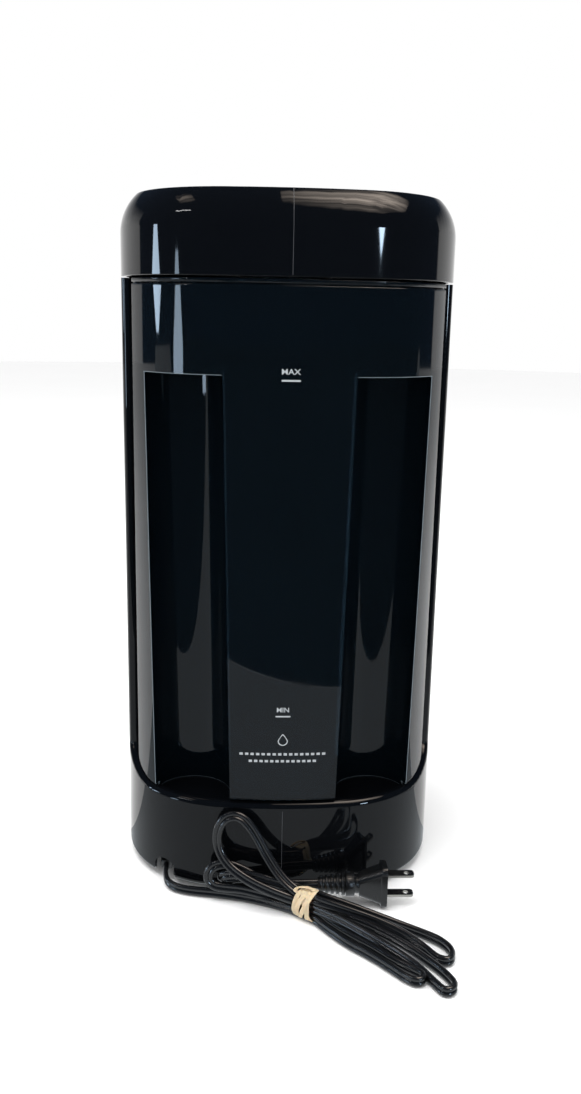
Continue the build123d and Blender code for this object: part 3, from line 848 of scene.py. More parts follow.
@dataclass
class MainsLead:
    """The flat two-core lead: its one route, sheath, band, strain relief and plug."""

    palette: Palette
    width: float = 6.2 * MM
    thickness: float = 3.2 * MM
    web: float = 1.5 * MM
    settle: float = 0.08
    exit: tuple[float, float, float] = (-71.0, -77.0, 8.2)
    band_middle: tuple[float, float, float] = (15.0, -122.0, 9.7)
    band_way: tuple[float, float] = (0.79, -0.61)
    route: list[tuple[float, float, float]] = field(
        default_factory=lambda: [
            # out of the notch and along the foot of the wall
            (-71, -77, 8.2),
            (-71.6, -85.5, 5.4),
            (-67, -93.4, 3.6),
            (-56.5, -98, 3.3),
            (-40, -100.6, 3.3),
            (-20, -105.8, 3.3),
            (-3, -113, 3.3),
            (8.8, -120.2, 3.4),
            (18.3, -127.6, 3.4),
            # front right-hand loop, out in front and back behind
            (25, -138, 3.3),
            (35, -151, 3.3),
            (47, -162, 3.3),
            (57, -173.5, 3.3),
            (63, -181, 3.3),
            (69.5, -186, 3.3),
            (74.5, -181.5, 3.3),
            (68.5, -175, 3.3),
            (59, -167.5, 3.3),
            (50, -156.5, 3.3),
            (38, -145.5, 3.3),
            (28, -134, 3.4),
            (21.2, -123.8, 3.4),
            (11.7, -116.4, 3.6),
            # outer left-hand loop, low strand out and high strand back
            (0, -112.5, 5.6),
            (-12, -109.0, 7.6),
            (-24, -106.2, 9.4),
            (-34, -105.2, 9.6),
            (-42, -104.2, 10.6),
            (-44.8, -103.2, 17.0),
            (-40.5, -102.8, 23.4),
            (-32, -103.2, 24.2),
            (-22, -105.2, 20.8),
            (-10, -110.0, 15.8),
            (1, -113.8, 12.0),
            (11.7, -116.4, 9.8),
            (21.2, -123.8, 9.6),
            # middle right-hand loop
            (29, -131, 9.2),
            (41, -138, 8.4),
            (54, -146, 7.0),
            (67, -156, 5.0),
            (78, -168, 3.6),
            (86, -180, 3.3),
            (89.5, -190, 3.3),
            (82.5, -194.5, 3.3),
            (78, -186, 3.3),
            (72, -174, 3.6),
            (61.5, -163, 5.4),
            (47, -151, 8.0),
            (34, -139.5, 9.2),
            (26, -133.5, 9.6),
            (18.3, -127.6, 9.7),
            (8.8, -120.2, 9.8),
            # tall loop that leans on the wall
            (2, -119.8, 12.2),
            (-8, -117.8, 15.2),
            (-21, -112.4, 19.0),
            (-32.5, -106.5, 25.0),
            (-38.5, -102.6, 34.0),
            (-39, -101.4, 45.5),
            (-33.5, -101.4, 54.5),
            (-24.5, -102.2, 55.0),
            (-16.5, -105.0, 46.0),
            (-9.5, -109.5, 33.5),
            (-1, -115.5, 22.5),
            (8.8, -120.2, 15.6),
            (18.3, -127.6, 15.6),
            # back right-hand loop, nearest the wall
            (27, -132.0, 14.8),
            (40, -136.5, 12.6),
            (54, -141.0, 9.8),
            (67, -147.5, 6.6),
            (77, -156.5, 4.2),
            (83, -166.5, 3.3),
            (90, -169.0, 3.3),
            (93.5, -160.5, 3.3),
            (88.5, -150.5, 3.4),
            (80, -144.5, 3.8),
            (68, -139.0, 5.4),
            (53, -134.0, 8.8),
            (38, -129.6, 12.4),
            (21.2, -123.8, 15.6),
            (11.7, -116.4, 15.8),
            # inner left-hand loop and the end behind the bundle
            (1, -114.6, 17.2),
            (-10, -112.6, 19.6),
            (-20, -109.0, 20.4),
            (-29, -106.8, 19.6),
            (-36, -104.6, 17.4),
            (-36, -102.0, 12.6),
            (-28, -101.2, 11.6),
            (-18, -102.8, 12.2),
            (-7, -105.6, 13.0),
            (3, -107.8, 13.4),
            (13, -108.2, 13.5),
            (24, -108.0, 13.5),
        ]
    )

    def _spline(self) -> list[Vector]:
        """Lay the route as one spline and read the points that it passes.

        Returns:
            The points along the line, in metres.
        """
        data = bpy.data.curves.new("lead route", "CURVE")
        data.dimensions = "3D"
        data.resolution_u = 9
        line = data.splines.new("NURBS")
        line.points.add(len(self.route) - 1)
        for point, spot in zip(line.points, self.route):
            point.co = (*(value * MM for value in spot), 1.0)
        line.order_u = 3
        line.use_endpoint_u = True
        holder = bpy.data.objects.new("lead route", data)
        mesh = bpy.data.meshes.new_from_object(holder)
        points = [vert.co.copy() for vert in mesh.vertices]
        bpy.data.objects.remove(holder)
        bpy.data.meshes.remove(mesh)
        return points

    def _frames(self, points: list[Vector]) -> list[Matrix]:
        """Set a frame at each point, its width up where the lead stands on edge.

        Args:
            points: The points along the line.

        Returns:
            A matrix for each point: width on X, thickness on Y, the way on Z.
        """
        frames = []
        last = Vector((0.0, 0.0, 1.0))
        for index, point in enumerate(points):
            before = points[max(index - 1, 0)]
            after = points[min(index + 1, len(points) - 1)]
            way = (after - before).normalized()
            carried = (last - way * last.dot(way)).normalized()
            upright = Vector((0.0, 0.0, 1.0)) - way * way.z
            if upright.dot(carried) < 0:
                upright.negate()
            pull = self.settle * max(0.0, 1.0 - abs(way.z) / 0.6)
            aim = carried.lerp(upright.normalized(), pull).normalized()
            last = aim
            side = way.cross(aim)
            turn = Matrix((aim, side, way)).transposed().to_4x4()
            frames.append(Matrix.Translation(point) @ turn)
        return frames

    def _outline(self, shape: bmesh.types.BMesh) -> list[bmesh.types.BMVert]:
        """Draw the two-core section with its groove on both flat sides.

        Args:
            shape: The bmesh to draw in.

        Returns:
            The section's vertices.
        """
        made = bmesh.ops.create_circle(shape, segments=24, radius=1.0)["verts"]
        core = self.thickness / 2
        middle = self.width / 2 - core
        reach = math.pi - math.asin(self.web / self.thickness)
        for vert in made:
            side = math.copysign(1.0, vert.co.x) if abs(vert.co.x) > 1e-6 else 0.0
            turn = math.atan2(vert.co.y, abs(vert.co.x)) * reach / (math.pi / 2)
            vert.co.x = side * (middle + core * math.cos(turn))
            vert.co.y = core * math.sin(turn)
        return made

    def _sweep(self, points: list[Vector]) -> bpy.types.Object:
        """Draw the sheath along the line by extruding its section.

        Args:
            points: The points along the line.

        Returns:
            The sheath.
        """
        frames = self._frames(points)
        shape = bmesh.new()
        ring = self._outline(shape)
        bmesh.ops.transform(shape, matrix=frames[0], verts=ring)
        edges = list(shape.edges)
        bmesh.ops.contextual_create(shape, geom=edges)
        for before, after in zip(frames, frames[1:]):
            made = bmesh.ops.extrude_edge_only(shape, edges=edges)["geom"]
            edges = [item for item in made if isinstance(item, bmesh.types.BMEdge)]
            verts = [item for item in made if isinstance(item, bmesh.types.BMVert)]
            bmesh.ops.transform(shape, matrix=after @ before.inverted(), verts=verts)
        bmesh.ops.contextual_create(shape, geom=edges)
        bmesh.ops.recalc_face_normals(shape, faces=shape.faces)
        return piece_from(shape, "mains_lead_sheath", self.palette.cord, crease=60.0)

    def _band_turn(
        self,
        shape: bmesh.types.BMesh,
        reach: tuple[float, float],
        lean: tuple[float, float],
        shift: float,
    ) -> None:
        """Add one turn of the band round the bundle.

        Args:
            shape: The bmesh that gets the turn.
            reach: Half the turn's width across and upwards, in millimetres.
            lean: How far it leans along the bundle, per unit across and upwards.
            shift: Where along the bundle its middle is, in millimetres.
        """
        made = bmesh.ops.create_circle(shape, segments=8, radius=1.0)["verts"]
        for vert in made:
            vert.co = Vector((1.0 + vert.co.x * 0.05, 0.0, vert.co.y * 1.55))
        edges = [edge for edge in shape.edges if edge.verts[0] in made]
        bmesh.ops.spin(
            shape,
            geom=made + edges,
            cent=(0.0, 0.0, 0.0),
            axis=(0.0, 0.0, 1.0),
            angle=math.tau,
            steps=48,
            use_merge=True,
        )
        verts = [vert for vert in shape.verts if not vert.tag]
        ways = self._bundle_axes()
        for vert in verts:
            vert.tag = True
            across, upward, along = vert.co
            slide = shift + along + lean[0] * across * reach[0]
            slide += lean[1] * upward * reach[1]
            wave = 0.35 * math.sin(3.0 * math.atan2(upward, across) + shift)
            place = ways[0] * slide + ways[1] * (across * (reach[0] + wave))
            place += ways[2] * (upward * reach[1])
            vert.co = (Vector(self.band_middle) + place) * MM

    def _bundle_axes(self) -> tuple[Vector, Vector, Vector]:
        """Give the ways along the bundle, across it and up."""
        along = Vector((*self.band_way, 0.0)).normalized()
        up = Vector((0.0, 0.0, 1.0))
        return along, up.cross(along), up

    def _band(self) -> bpy.types.Object:
        """Wind the band round the bundle, with a short twisted end on top."""
        shape = bmesh.new()
        for reach, lean, shift in (
            ((6.6, 9.35), (0.34, 0.12), -3.2),
            ((6.9, 9.5), (-0.42, 0.05), 0.6),
            ((6.7, 9.4), (0.10, -0.42), 2.6),
            ((7.3, 9.55), (-0.14, 0.46), 0.4),
            ((7.1, 9.45), (0.28, 0.30), -0.8),
        ):
            self._band_turn(shape, reach, lean, shift)
        self._band_knot(shape)
        bmesh.ops.recalc_face_normals(shape, faces=shape.faces)
        return piece_from(shape, "tie_band", self.palette.band, crease=60.0)

    def _band_knot(self, shape: bmesh.types.BMesh) -> None:
        """Add the small loop that stands up where the band is twisted off.

        Args:
            shape: The bmesh that gets the loop.
        """
        made = bmesh.ops.create_circle(shape, segments=8, radius=1.0)["verts"]
        for vert in made:
            vert.co = Vector((1.0 + vert.co.x * 0.2, 0.0, vert.co.y * 0.9))
        edges = [edge for edge in shape.edges if edge.verts[0] in made]
        bmesh.ops.spin(
            shape,
            geom=made + edges,
            cent=(0.0, 0.0, 0.0),
            axis=(0.0, 0.0, 1.0),
            angle=math.tau,
            steps=32,
            use_merge=True,
        )
        ways = self._bundle_axes()
        for vert in [vert for vert in shape.verts if not vert.tag]:
            vert.tag = True
            along, rise, thick = vert.co
            place = ways[0] * (along * 5.4 - 1.0 + thick * 0.4)
            place += ways[1] * (thick * 1.1 + along * 1.6 - 2.2)
            place += ways[2] * (8.8 + rise * 2.4 + 0.6 * along)
            vert.co = (Vector(self.band_middle) + place) * MM

    def _relief(self) -> bpy.types.Object:
        """Ride the ribbed strain relief over the first run of the lead."""
        return finished_copy(
            "cord_strain_relief", "lead_strain_relief", self.palette.plug
        )

    def build(self) -> None:
        """Make the lead with its band and plug."""
        points = self._spline()
        sheath = self._sweep(points)
        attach(sheath, "base")
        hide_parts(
            "power_cord_hank",
            "power_cord_lead",
            "power_cord_loop",
            "power_cord_tail",
        )
        band = self._band()
        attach(band, "base")
        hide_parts("cord_band")
        relief = self._relief()
        plug = finished_copy("plug_body", "plug_moulding", self.palette.plug)
        blades = finished_copy("plug_blades", "plug_contacts", self.palette.nickel)


@dataclass(frozen=True)
class BodyPlan:
    """The rounded plan that every outer wall follows, in metres."""

    face_radius: float = 0.272
    face_centre: float = 0.174
    corner_radius: float = 0.068
    corner_centre: float = 0.02806
    slack: float = 2e-4

    def look(self, point: Vector) -> tuple[float, Vector]:
        """Give a point's depth inside the outline, and the wall's direction.

        Args:
            point: The point.

        Returns:
            The depth, and the true outward direction there.
        """
        along_x = abs(point.x) > abs(point.y)
        far, side = (point.x, point.y) if along_x else (point.y, point.x)
        far_sign, side_sign = math.copysign(1.0, far), math.copysign(1.0, side)
        far, side = abs(far), abs(side)
        corner = self.corner_centre
        if side * (corner + self.face_centre) > corner * (far + self.face_centre):
            radius, arm = self.corner_radius, (far - corner, side - corner)
        else:
            radius, arm = self.face_radius, (far + self.face_centre, side)
        distance = math.hypot(*arm)
        outward = (far_sign * arm[0] / distance, side_sign * arm[1] / distance)
        if not along_x:
            outward = (outward[1], outward[0])
        return radius - distance, Vector((*outward, 0.0))


@dataclass(frozen=True)
class HandChannel:
    """A round hand channel down the tank's rear, whose middle leans, in metres."""

    low: tuple[float, float] = (0.0545, 0.0605)
    high: tuple[float, float] = (0.0597, 0.312)
    middle_y: float = -0.079
    radius: float = 0.023
    slack: float = 1e-4

    def look(self, point: Vector) -> tuple[float, Vector]:
        """Give a point's distance from the channel's middle, and its direction.

        Args:
            point: The point.

        Returns:
            The distance, and the direction away from the middle there.
        """
        lean = (self.high[0] - self.low[0]) / (self.high[1] - self.low[1])
        side = math.copysign(1.0, point.x)
        middle = self.low[0] + lean * (point.z - self.low[1])
        arm = Vector((point.x - side * middle, point.y - self.middle_y, 0.0))
        distance = max(arm.length, 1e-9)
        away = arm / distance
        away.z = -away.x * lean * side
        return distance, away.normalized()

    def holds(self, face: bmesh.types.BMFace) -> bool:
        """Say whether a face lies on the channel's round wall."""
        return all(
            abs(self.look(vert.co)[0] - self.radius) < 5e-5 for vert in face.verts
        )


@dataclass(frozen=True)
class LevelFace:
    """A flat, level face, which shades evenly right up to its rounded edges."""

    slack: float = 1e-5

    def look(self, point: Vector) -> tuple[float, Vector]:
        """Give a point's height, and straight up."""
        return point.z, Vector((0.0, 0.0, 1.0))


Guide = BodyPlan | HandChannel | LevelFace
SKIN_LIFT = 3e-5


def round_lips(shape: bmesh.types.BMesh, width: float) -> bmesh.types.BMesh:
    """Round the lips of the hand channels a little.

    Args:
        shape: The tank, which is changed in place.
        width: How wide the rounding is, in metres.

    Returns:
        A skin just over the rounded lips, which carries their painted highlight.
    """
    channel = HandChannel()
    top = channel.high[1]
    lips = []
    for edge in shape.edges:
        if len(edge.link_faces) != 2 or edge.calc_face_angle(0.0) < math.radians(40.0):
            continue
        if max(vert.co.y for vert in edge.verts) > -0.05:
            continue
        ledge = all(abs(vert.co.z - top) < 1e-4 for vert in edge.verts)
        wall = sum(channel.holds(face) for face in edge.link_faces) == 1
        if ledge or wall:
            lips.append(edge)
    made = bmesh.ops.bevel(
        shape,
        geom=lips,
        offset=width,
        offset_type="OFFSET",
        segments=3,
        profile=0.5,
        affect="EDGES",
        clamp_overlap=True,
        material=-1,
    )
    LOG.info("%d lip edges rounded", len(lips))
    for face in shape.faces:
        face.tag = False
    for face in made["faces"]:
        face.tag = True
    skin = shape.copy()
    bmesh.ops.delete(
        skin, geom=[face for face in skin.faces if not face.tag], context="FACES"
    )
    skin.normal_update()
    for vert in skin.verts:
        vert.co += vert.normal * SKIN_LIFT
    return skin


def true_shading(piece: bpy.types.Object, guides: tuple[Guide, ...]) -> None:
    """Shade the walls that follow a known curve by that curve's own direction.

    Args:
        piece: The piece, with its even shading still to be fixed.
        guides: The curves that its walls may follow.
    """
    even = piece.modifiers.new("even shading", "WEIGHTED_NORMAL")
    even.keep_sharp = True
    ready = piece.evaluated_get(bpy.context.evaluated_depsgraph_get()).data
    normals = [corner.vector.copy() for corner in ready.corner_normals]
    piece.modifiers.remove(even)
    mesh = piece.data
    close = math.cos(math.radians(8.0))
    for guide in guides:
        looks = [guide.look(vert.co) for vert in mesh.vertices]
        for face in mesh.polygons:
            seen = [looks[index] for index in face.vertices]
            distances = [distance for distance, _ in seen]
            if max(distances) - min(distances) > guide.slack:
                continue
            turns = [way.dot(face.normal) for _, way in seen]
            if min(abs(turn) for turn in turns) < close:
                continue
            for corner, (_, way), turn in zip(face.loop_indices, seen, turns):
                normals[corner] = way if turn > 0 else -way
    mesh.normals_split_custom_set(normals)


def finished_copy(
    node: str,
    name: str,
    material: bpy.types.Material,
    crease: float = 32.0,
    guides: tuple[Guide, ...] = (),
    lips: float = 0.0,
    lip_finish: bpy.types.Material | None = None,
) -> bpy.types.Object:
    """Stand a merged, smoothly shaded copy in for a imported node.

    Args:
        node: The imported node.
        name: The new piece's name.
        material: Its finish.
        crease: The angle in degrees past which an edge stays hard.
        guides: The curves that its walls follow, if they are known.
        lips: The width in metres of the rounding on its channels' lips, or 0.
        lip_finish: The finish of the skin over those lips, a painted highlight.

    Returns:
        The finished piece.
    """
    source = NODES[node]
    shape = bmesh.new()
    shape.from_mesh(source.data)
    bmesh.ops.remove_doubles(shape, verts=shape.verts, dist=2e-6)
    if lips > 0:
        rounded = round_lips(shape, lips)
        # The skin over the lips is a painted highlight.
        skin = piece_from(rounded, "channel_lip_highlight", lip_finish, crease=60.0)
        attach(skin, body_of(source)[0])
    piece = piece_from(shape, name, None, crease=crease)
    piece.data.materials.clear()
    piece.data.materials.append(material)
    if guides:
        true_shading(piece, guides)
    else:
        even = piece.modifiers.new("even shading", "WEIGHTED_NORMAL")
        even.keep_sharp = True
    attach(piece, body_of(source)[0])
    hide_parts(node)
    return piece


def draw_block(
    shape: bmesh.types.BMesh,
    foot: tuple[float, float],
    size: tuple[float, float],
    columns: int = 1,
) -> None:
    """Draw an upright block, X across and Z up in millimetres.

    Args:
        shape: The drawing that gets it.
        foot: Its left foot.
        size: Its width and its height.
        columns: How many faces it has across, so that it can follow a curve.
    """
    block = bmesh.ops.create_grid(shape, x_segments=columns, y_segments=1, size=0.5)
    for vert in block["verts"]:
        across, upward = vert.co.x + 0.5, vert.co.y + 0.5
        vert.co = Vector(
            (foot[0] + across * size[0], 0.0, foot[1] + upward * size[1])
        )


def draw_ring(
    shape: bmesh.types.BMesh,
    middle: tuple[float, float],
    radius: float,
    inner: float,
    point: float,
    segments: int,
) -> None:
    """Draw a ring, or a drop when it has a point.

    Args:
        shape: The drawing that gets it.
        middle: Its middle, X and Z in millimetres.
        radius: Its outer radius in millimetres.
        inner: Its inner radius, as a share of the outer one.
        point: How far its top is drawn out, as a share of the radius.
        segments: How many sides it has.
    """
    rims = []
    for share in (1.0, inner):
        rims += bmesh.ops.create_circle(shape, segments=segments, radius=share)["verts"]
    edges = dict.fromkeys(edge for vert in rims for edge in vert.link_edges)
    bmesh.ops.bridge_loops(shape, edges=list(edges))
    for vert in rims:
        across, upward = vert.co.x, vert.co.y
        if upward > 0 and point > 0:
            across *= 1.0 - DROP_PINCH * upward
            upward *= 1.0 + point
        vert.co = Vector(
            (middle[0] + across * radius, 0.0, middle[1] + upward * radius)
        )


def face_one_way(shape: bmesh.types.BMesh, toward: float) -> None:
    """Bring a flat drawing to metres and turn its faces one way along Y.

    Args:
        shape: The drawing in millimetres, which is changed in place.
        toward: 1 where its faces point along Y, -1 where they point against it.
    """
    bmesh.ops.scale(shape, vec=(MM, MM, MM), verts=shape.verts)
    for face in shape.faces:
        face.normal_update()
        if face.normal.y * toward < 0:
            face.normal_flip()


@dataclass
class TankPrint:
    """Level marks and a plain drop mark printed on the tank's rear face."""

    palette: Palette
    radius: float = 271.2
    centre_y: float = 174.0
    lift: float = 0.04
    max_z: float = 313.2
    min_z: float = 118.6
    bar_columns: int = 12
    dash_share: float = 0.62
    dash_tall: float = 1.5

    def _surface(self, across: float) -> float:
        """Give the Y of the print at a place across the face, in millimetres."""
        return self.centre_y - math.sqrt(self.radius**2 - across**2) - self.lift

    def _settle(self, shape: bmesh.types.BMesh) -> None:
        """Lay a flat drawing, X across and Z up in millimetres, on the curved face.

        Args:
            shape: The drawing, which is changed in place.
        """
        for vert in shape.verts:
            vert.co.y = self._surface(vert.co.x)
        face_one_way(shape, -1.0)

    def _bar(
        self, low: tuple[float, float], high: tuple[float, float]
    ) -> bmesh.types.BMesh:
        """Draw a bar that can follow the face.

        Args:
            low: Its left foot, X and Z in millimetres.
            high: Its right top, X and Z in millimetres.

        Returns:
            The drawing.
        """
        shape = bmesh.new()
        size = (high[0] - low[0], high[1] - low[1])
        draw_block(shape, low, size, self.bar_columns)
        return shape

    def _dashes(
        self, left: float, right: float, foot: float, count: int
    ) -> bmesh.types.BMesh:
        """Draw a row of plain dashes.

        Args:
            left: The row's left end in millimetres.
            right: The row's right end in millimetres.
            foot: The height of its foot in millimetres.
            count: How many dashes it has.

        Returns:
            The drawing.
        """
        shape = bmesh.new()
        pitch = (right - left) / count
        for index in range(count):
            start = (left + index * pitch, foot)
            draw_block(shape, start, (pitch * self.dash_share, self.dash_tall))
        return shape

    def _word(
        self, text: str, left: float, right: float, foot: float, tall: float
    ) -> bmesh.types.BMesh:
        """Draw a level word.

        Args:
            text: The word.
            left: Its left end in millimetres.
            right: Its right end in millimetres.
            foot: The height of its foot in millimetres.
            tall: Its height in millimetres.

        Returns:
            The drawing.
        """
        data = bpy.data.curves.new(text, "FONT")
        data.body = text
        data.offset = 0.012
        holder = bpy.data.objects.new(text, data)
        mesh = bpy.data.meshes.new_from_object(holder)
        shape = bmesh.new()
        shape.from_mesh(mesh)
        bpy.data.objects.remove(holder)
        bpy.data.meshes.remove(mesh)
        xs = [vert.co.x for vert in shape.verts]
        ys = [vert.co.y for vert in shape.verts]
        for vert in shape.verts:
            share = (vert.co.x - min(xs)) / (max(xs) - min(xs))
            rise = (vert.co.y - min(ys)) / (max(ys) - min(ys))
            vert.co = Vector(
                (left + share * (right - left), 0.0, foot + rise * tall)
            )
        return shape

    def _drop(self, middle: tuple[float, float], size: float) -> bmesh.types.BMesh:
        """Draw a plain ring with a drop's point on top.

        Args:
            middle: Its middle, X and Z in millimetres.
            size: Its radius in millimetres.

        Returns:
            The drawing.
        """
        shape = bmesh.new()
        draw_ring(shape, middle, size, 0.8, 0.45, 36)
        return shape

    def build(self) -> None:
        """Print every mark and ride them on the tank."""
        drawings = {
            "mark_full_word": self._word("MAX", -4.9, 5.4, self.max_z, 3.0),
            "mark_full_bar": self._bar((-4.9, 309.4), (5.4, 310.4)),
            "mark_low_word": self._word("MIN", -4.4, 2.7, self.min_z, 2.9),
            "mark_low_bar": self._bar((-5.1, 115.5), (3.6, 116.4)),
            "mark_drop": self._drop((-0.6, 100.6), 3.0),
            "mark_note_upper": self._dashes(-26.0, 26.0, 91.4, 16),
            "mark_note_lower": self._dashes(-20.5, 20.5, 87.0, 13),
        }
        for name, shape in drawings.items():
            self._settle(shape)
            piece = piece_from(shape, name, self.palette.ink, smooth=False)
            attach(piece, "tank")
        LOG.info("tank print built")


@dataclass
class PanelPrint:
    """Plain signs on the front panel: a drop, level bars and a power ring."""

    palette: Palette
    face_radius: float = 272.0
    face_centre: float = -174.0
    lift: float = 0.05
    bar_tall: tuple[float, ...] = (7.8, 6.2, 4.6, 3.0)
    bar_wide: float = 2.2
    bar_pitch: float = 4.6
    ring_radius: float = 3.0
    ring_wall: float = 0.45
    ring_sides: int = 32
    drop_radius: float = 3.4
    drop_point: float = 0.5
    drop_inset: float = 12.0
    drop_fall: float = 1.0
    bars_inset: float = 10.0
    bars_fall: float = 4.0
    stroke_rise: float = 0.6

    def _lay(
        self, shape: bmesh.types.BMesh, name: str, body: str, proud: float
    ) -> None:
        """Lay a flat drawing, X across and Z up in millimetres, on the front wall.

        Args:
            shape: The drawing, which is freed.
            name: The piece's name.
            body: The body that it rides on.
            proud: How far the face stands out from the wall, in millimetres.
        """
        for vert in shape.verts:
            reach = math.sqrt(self.face_radius**2 - vert.co.x**2)
            vert.co.y = self.face_centre + reach + proud + self.lift
        face_one_way(shape, 1.0)
        piece = piece_from(shape, name, self.palette.ink, smooth=False)
        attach(piece, body)

    def _ring(
        self,
        shape: bmesh.types.BMesh,
        middle: tuple[float, float],
        radius: float,
        point: float,
    ) -> None:
        """Draw a ring of the signs' stroke, or a drop when it has a point.

        Args:
            shape: The drawing that gets it.
            middle: Its middle, X and Z in millimetres.
            radius: Its outer radius in millimetres.
            point: How far its top is drawn out, as a share of the radius.
        """
        inner = (radius - self.ring_wall) / radius
        draw_ring(shape, middle, radius, inner, point, self.ring_sides)

    def _bars(
        self,
        shape: bmesh.types.BMesh,
        left: float,
        foot: float,
        tall: tuple[float, ...],
        wide: float,
    ) -> None:
        """Draw upright bars side by side.

        Args:
            shape: The drawing that gets them.
            left: The left side of the first in millimetres.
            foot: The height of their feet in millimetres.
            tall: How tall each is in millimetres.
            wide: How wide each is in millimetres.
        """
        for index, height in enumerate(tall):
            start = left + index * self.bar_pitch
            draw_block(shape, (start, foot), (wide, height))

    def build(self) -> None:
        """Print the signs on the lens and on the button."""
        low, high = (Vector(corner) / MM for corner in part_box("display_lens"))
        middle_z = (low.z + high.z) / 2
        signs = bmesh.new()
        drop = (high.x - self.drop_inset, middle_z - self.drop_fall)
        self._ring(signs, drop, self.drop_radius, self.drop_point)
        start, foot = low.x + self.bars_inset, middle_z - self.bars_fall
        self._bars(signs, start, foot, self.bar_tall, self.bar_wide)
        proud = self._proud("display_lens", self.drop_inset)
        self._lay(signs, "panel_signs", "base", proud)
        low, high = (Vector(corner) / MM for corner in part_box("power_button"))
        middle = ((low.x + high.x) / 2, (low.z + high.z) / 2)
        power = bmesh.new()
        self._ring(power, middle, self.ring_radius, 0.0)
        stroke = self.ring_wall
        start, foot = middle[0] - stroke / 2, middle[1] + self.stroke_rise
        self._bars(power, start, foot, (self.ring_radius,), stroke)
        reach = math.sqrt(self.face_radius**2 - middle[0] ** 2)
        self._lay(power, "button_sign", "button", high.y - self.face_centre - reach)
        LOG.info("panel signs laid")

    def _proud(self, node: str, across: float) -> float:
        """Give how far a node's front stands out from the wall, in millimetres.

        Args:
            node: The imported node, whose front follows the wall.
            across: How far from the middle it is looked at, in millimetres.

        Returns:
            How far it stands out.
        """
        return max(
            vert.co.y / MM
            - self.face_centre
            - math.sqrt(self.face_radius**2 - (vert.co.x / MM) ** 2)
            for vert in NODES[node].data.vertices
            if abs(vert.co.x / MM) < 3 * across
        )


@dataclass
class ValveCoil:
    """The coil spring over the tank valve's plunger."""

    palette: Palette
    wire: float = 0.45 * MM
    turns: float = 3.0
    steps: int = 90
    keep: float = 0.5

    def build(self) -> None:
        """Wind the coil between its two seats."""
        low, high = (Vector(corner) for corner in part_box("valve_spring"))
        middle_y = (low.y + high.y) / 2
        radius = (high.x - low.x) / 2 - self.wire
        foot = low.z + self.wire
        rise = high.z - low.z - 2 * self.wire
        shape = bmesh.new()
        ring = bmesh.ops.create_circle(
            shape, cap_ends=True, segments=12, radius=self.wire
        )
        spots = ring["verts"]
        upright = Matrix.Rotation(math.radians(90.0), 3, "X")
        bmesh.ops.rotate(shape, verts=spots, cent=(0, 0, 0), matrix=upright)
        bmesh.ops.translate(shape, verts=spots, vec=(radius, middle_y, foot))
        bmesh.ops.spin(
            shape,
            geom=shape.faces[:],
            cent=(0.0, middle_y, 0.0),
            axis=(0.0, 0.0, 1.0),
            dvec=(0.0, 0.0, rise / self.steps),
            angle=self.turns * 2 * math.pi,
            steps=self.steps,
            use_merge=False,
        )
        bmesh.ops.remove_doubles(shape, verts=shape.verts, dist=1e-7)
        bmesh.ops.recalc_face_normals(shape, faces=shape.faces)
        piece = piece_from(shape, "valve_coil", self.palette.steel)
        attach(piece, body_of(NODES["valve_spring"])[0])
        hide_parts("valve_spring")
        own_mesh(piece)
        LOG.info("valve coil wound")


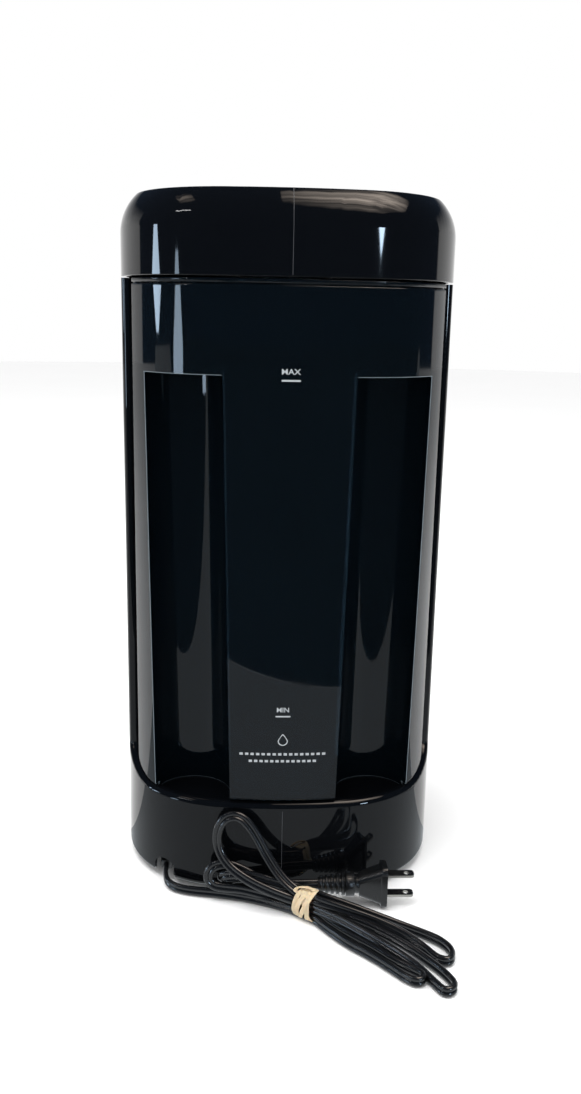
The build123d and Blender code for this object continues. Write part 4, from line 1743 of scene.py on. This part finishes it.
@dataclass
class PartingLine:
    """The fine line where two halves of a mould met, up the rear middle; the line is
    real, and its pale grey is a painted highlight.
    """

    palette: Palette
    width: float = 0.3
    wall_y: float = -98.05
    shoulder_z: float = 388.0
    shoulder_r: float = 30.05
    top_turn: float = 46.8
    cover_foot: float = 365.0
    base_foot: float = 8.0
    base_top: float = 55.5

    def _line(self, name: str, body: str, foot: float, top: float, turn: float) -> None:
        """Lay a fine raised line up the wall.

        Args:
            name: The piece's name.
            body: The body that it rides on.
            foot: The height of its foot in millimetres.
            top: The height where the wall ends, in millimetres.
            turn: How far it follows the shoulder, in degrees.
        """
        shape = bmesh.new()
        bmesh.ops.create_grid(shape, x_segments=1, y_segments=28, size=0.5)
        for vert in shape.verts:
            share = (vert.co.y + 0.5) * 2.0
            across = vert.co.x * self.width
            if turn == 0.0 or share <= 1.0:
                rise = share / 2.0 if turn == 0.0 else share
                vert.co = Vector((across, self.wall_y, foot + rise * (top - foot)))
            else:
                angle = math.radians((share - 1.0) * turn)
                middle_y = self.wall_y + self.shoulder_r
                vert.co = Vector(
                    (
                        across,
                        middle_y - self.shoulder_r * math.cos(angle),
                        self.shoulder_z + self.shoulder_r * math.sin(angle),
                    )
                )
        face_one_way(shape, -1.0)
        # The line is real; its grey finish is a painted highlight on the black shell.
        piece = piece_from(shape, name, self.palette.seam, smooth=True)
        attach(piece, body)

    def build(self) -> None:
        """Lay the line up the cover and up the base."""
        foot, top = self.cover_foot, self.shoulder_z
        self._line("cover_parting_line", "cover", foot, top, self.top_turn)
        self._line("base_parting_line", "base", self.base_foot, self.base_top, 0.0)
        LOG.info("parting lines laid")


@dataclass
class Shell:
    """The housing, cover, tank and the other mouldings that show."""

    palette: Palette
    lip_width: float = 0.5 * MM

    def build(self) -> None:
        """Stand finished copies in for the mouldings that show."""
        gloss, tank = self.palette.gloss, self.palette.tank
        plan = (BodyPlan(), LevelFace())
        walls = (BodyPlan(), HandChannel(), LevelFace())
        for node, name, material, crease, guides, lips in (
            ("housing", "housing_shell", self.palette.rim, 30.0, plan, 0.0),
            ("top_cover", "cover_shell", gloss, 30.0, plan, 0.0),
            ("water_tank", "tank_shell", tank, 30.0, walls, self.lip_width),
            ("tank_collar", "tank_neck_collar", tank, 30.0, (), 0.0),
            ("mist_nozzle", "nozzle_moulding", gloss, 30.0, (LevelFace(),), 0.0),
            ("basin_tray", "basin_moulding", gloss, 32.0, plan, 0.0),
            ("display_lens", "panel_lens", gloss, 32.0, plan, 0.0),
            ("power_button", "button_moulding", self.palette.satin, 32.0, (), 0.0),
            ("mist_tube", "mist_chimney", tank, 32.0, (), 0.0),
            ("rubber_feet", "feet_moulding", self.palette.rubber, 35.0, (), 0.0),
            ("bottom_plate", "bottom_moulding", self.palette.satin, 32.0, (), 0.0),
        ):
            finished_copy(node, name, material, crease, guides, lips, self.palette.lip)
            LOG.info("%s built", name)


@dataclass
class Insides:
    """The pieces inside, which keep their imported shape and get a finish."""

    palette: Palette

    def build(self) -> None:
        """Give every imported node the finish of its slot."""
        finishes = self.palette.by_slot()
        for row in frame["record"]["subparts"]:
            source = NODES[row["node"]]
            for slot in source.material_slots:
                slot.material = finishes[row["material_slot"]]
        LOG.info("%d packed pieces finished", len(NODES))


def main() -> None:
    """Build the studio, the lead and every piece in order."""
    logging.basicConfig(level=logging.INFO, format="%(message)s")
    Studio().build()
    palette = Palette()
    MainsLead(palette).build()
    Shell(palette).build()
    Insides(palette).build()
    TankPrint(palette).build()
    PartingLine(palette).build()
    PanelPrint(palette).build()
    ValveCoil(palette).build()


if __name__ == "__main__":
    main()
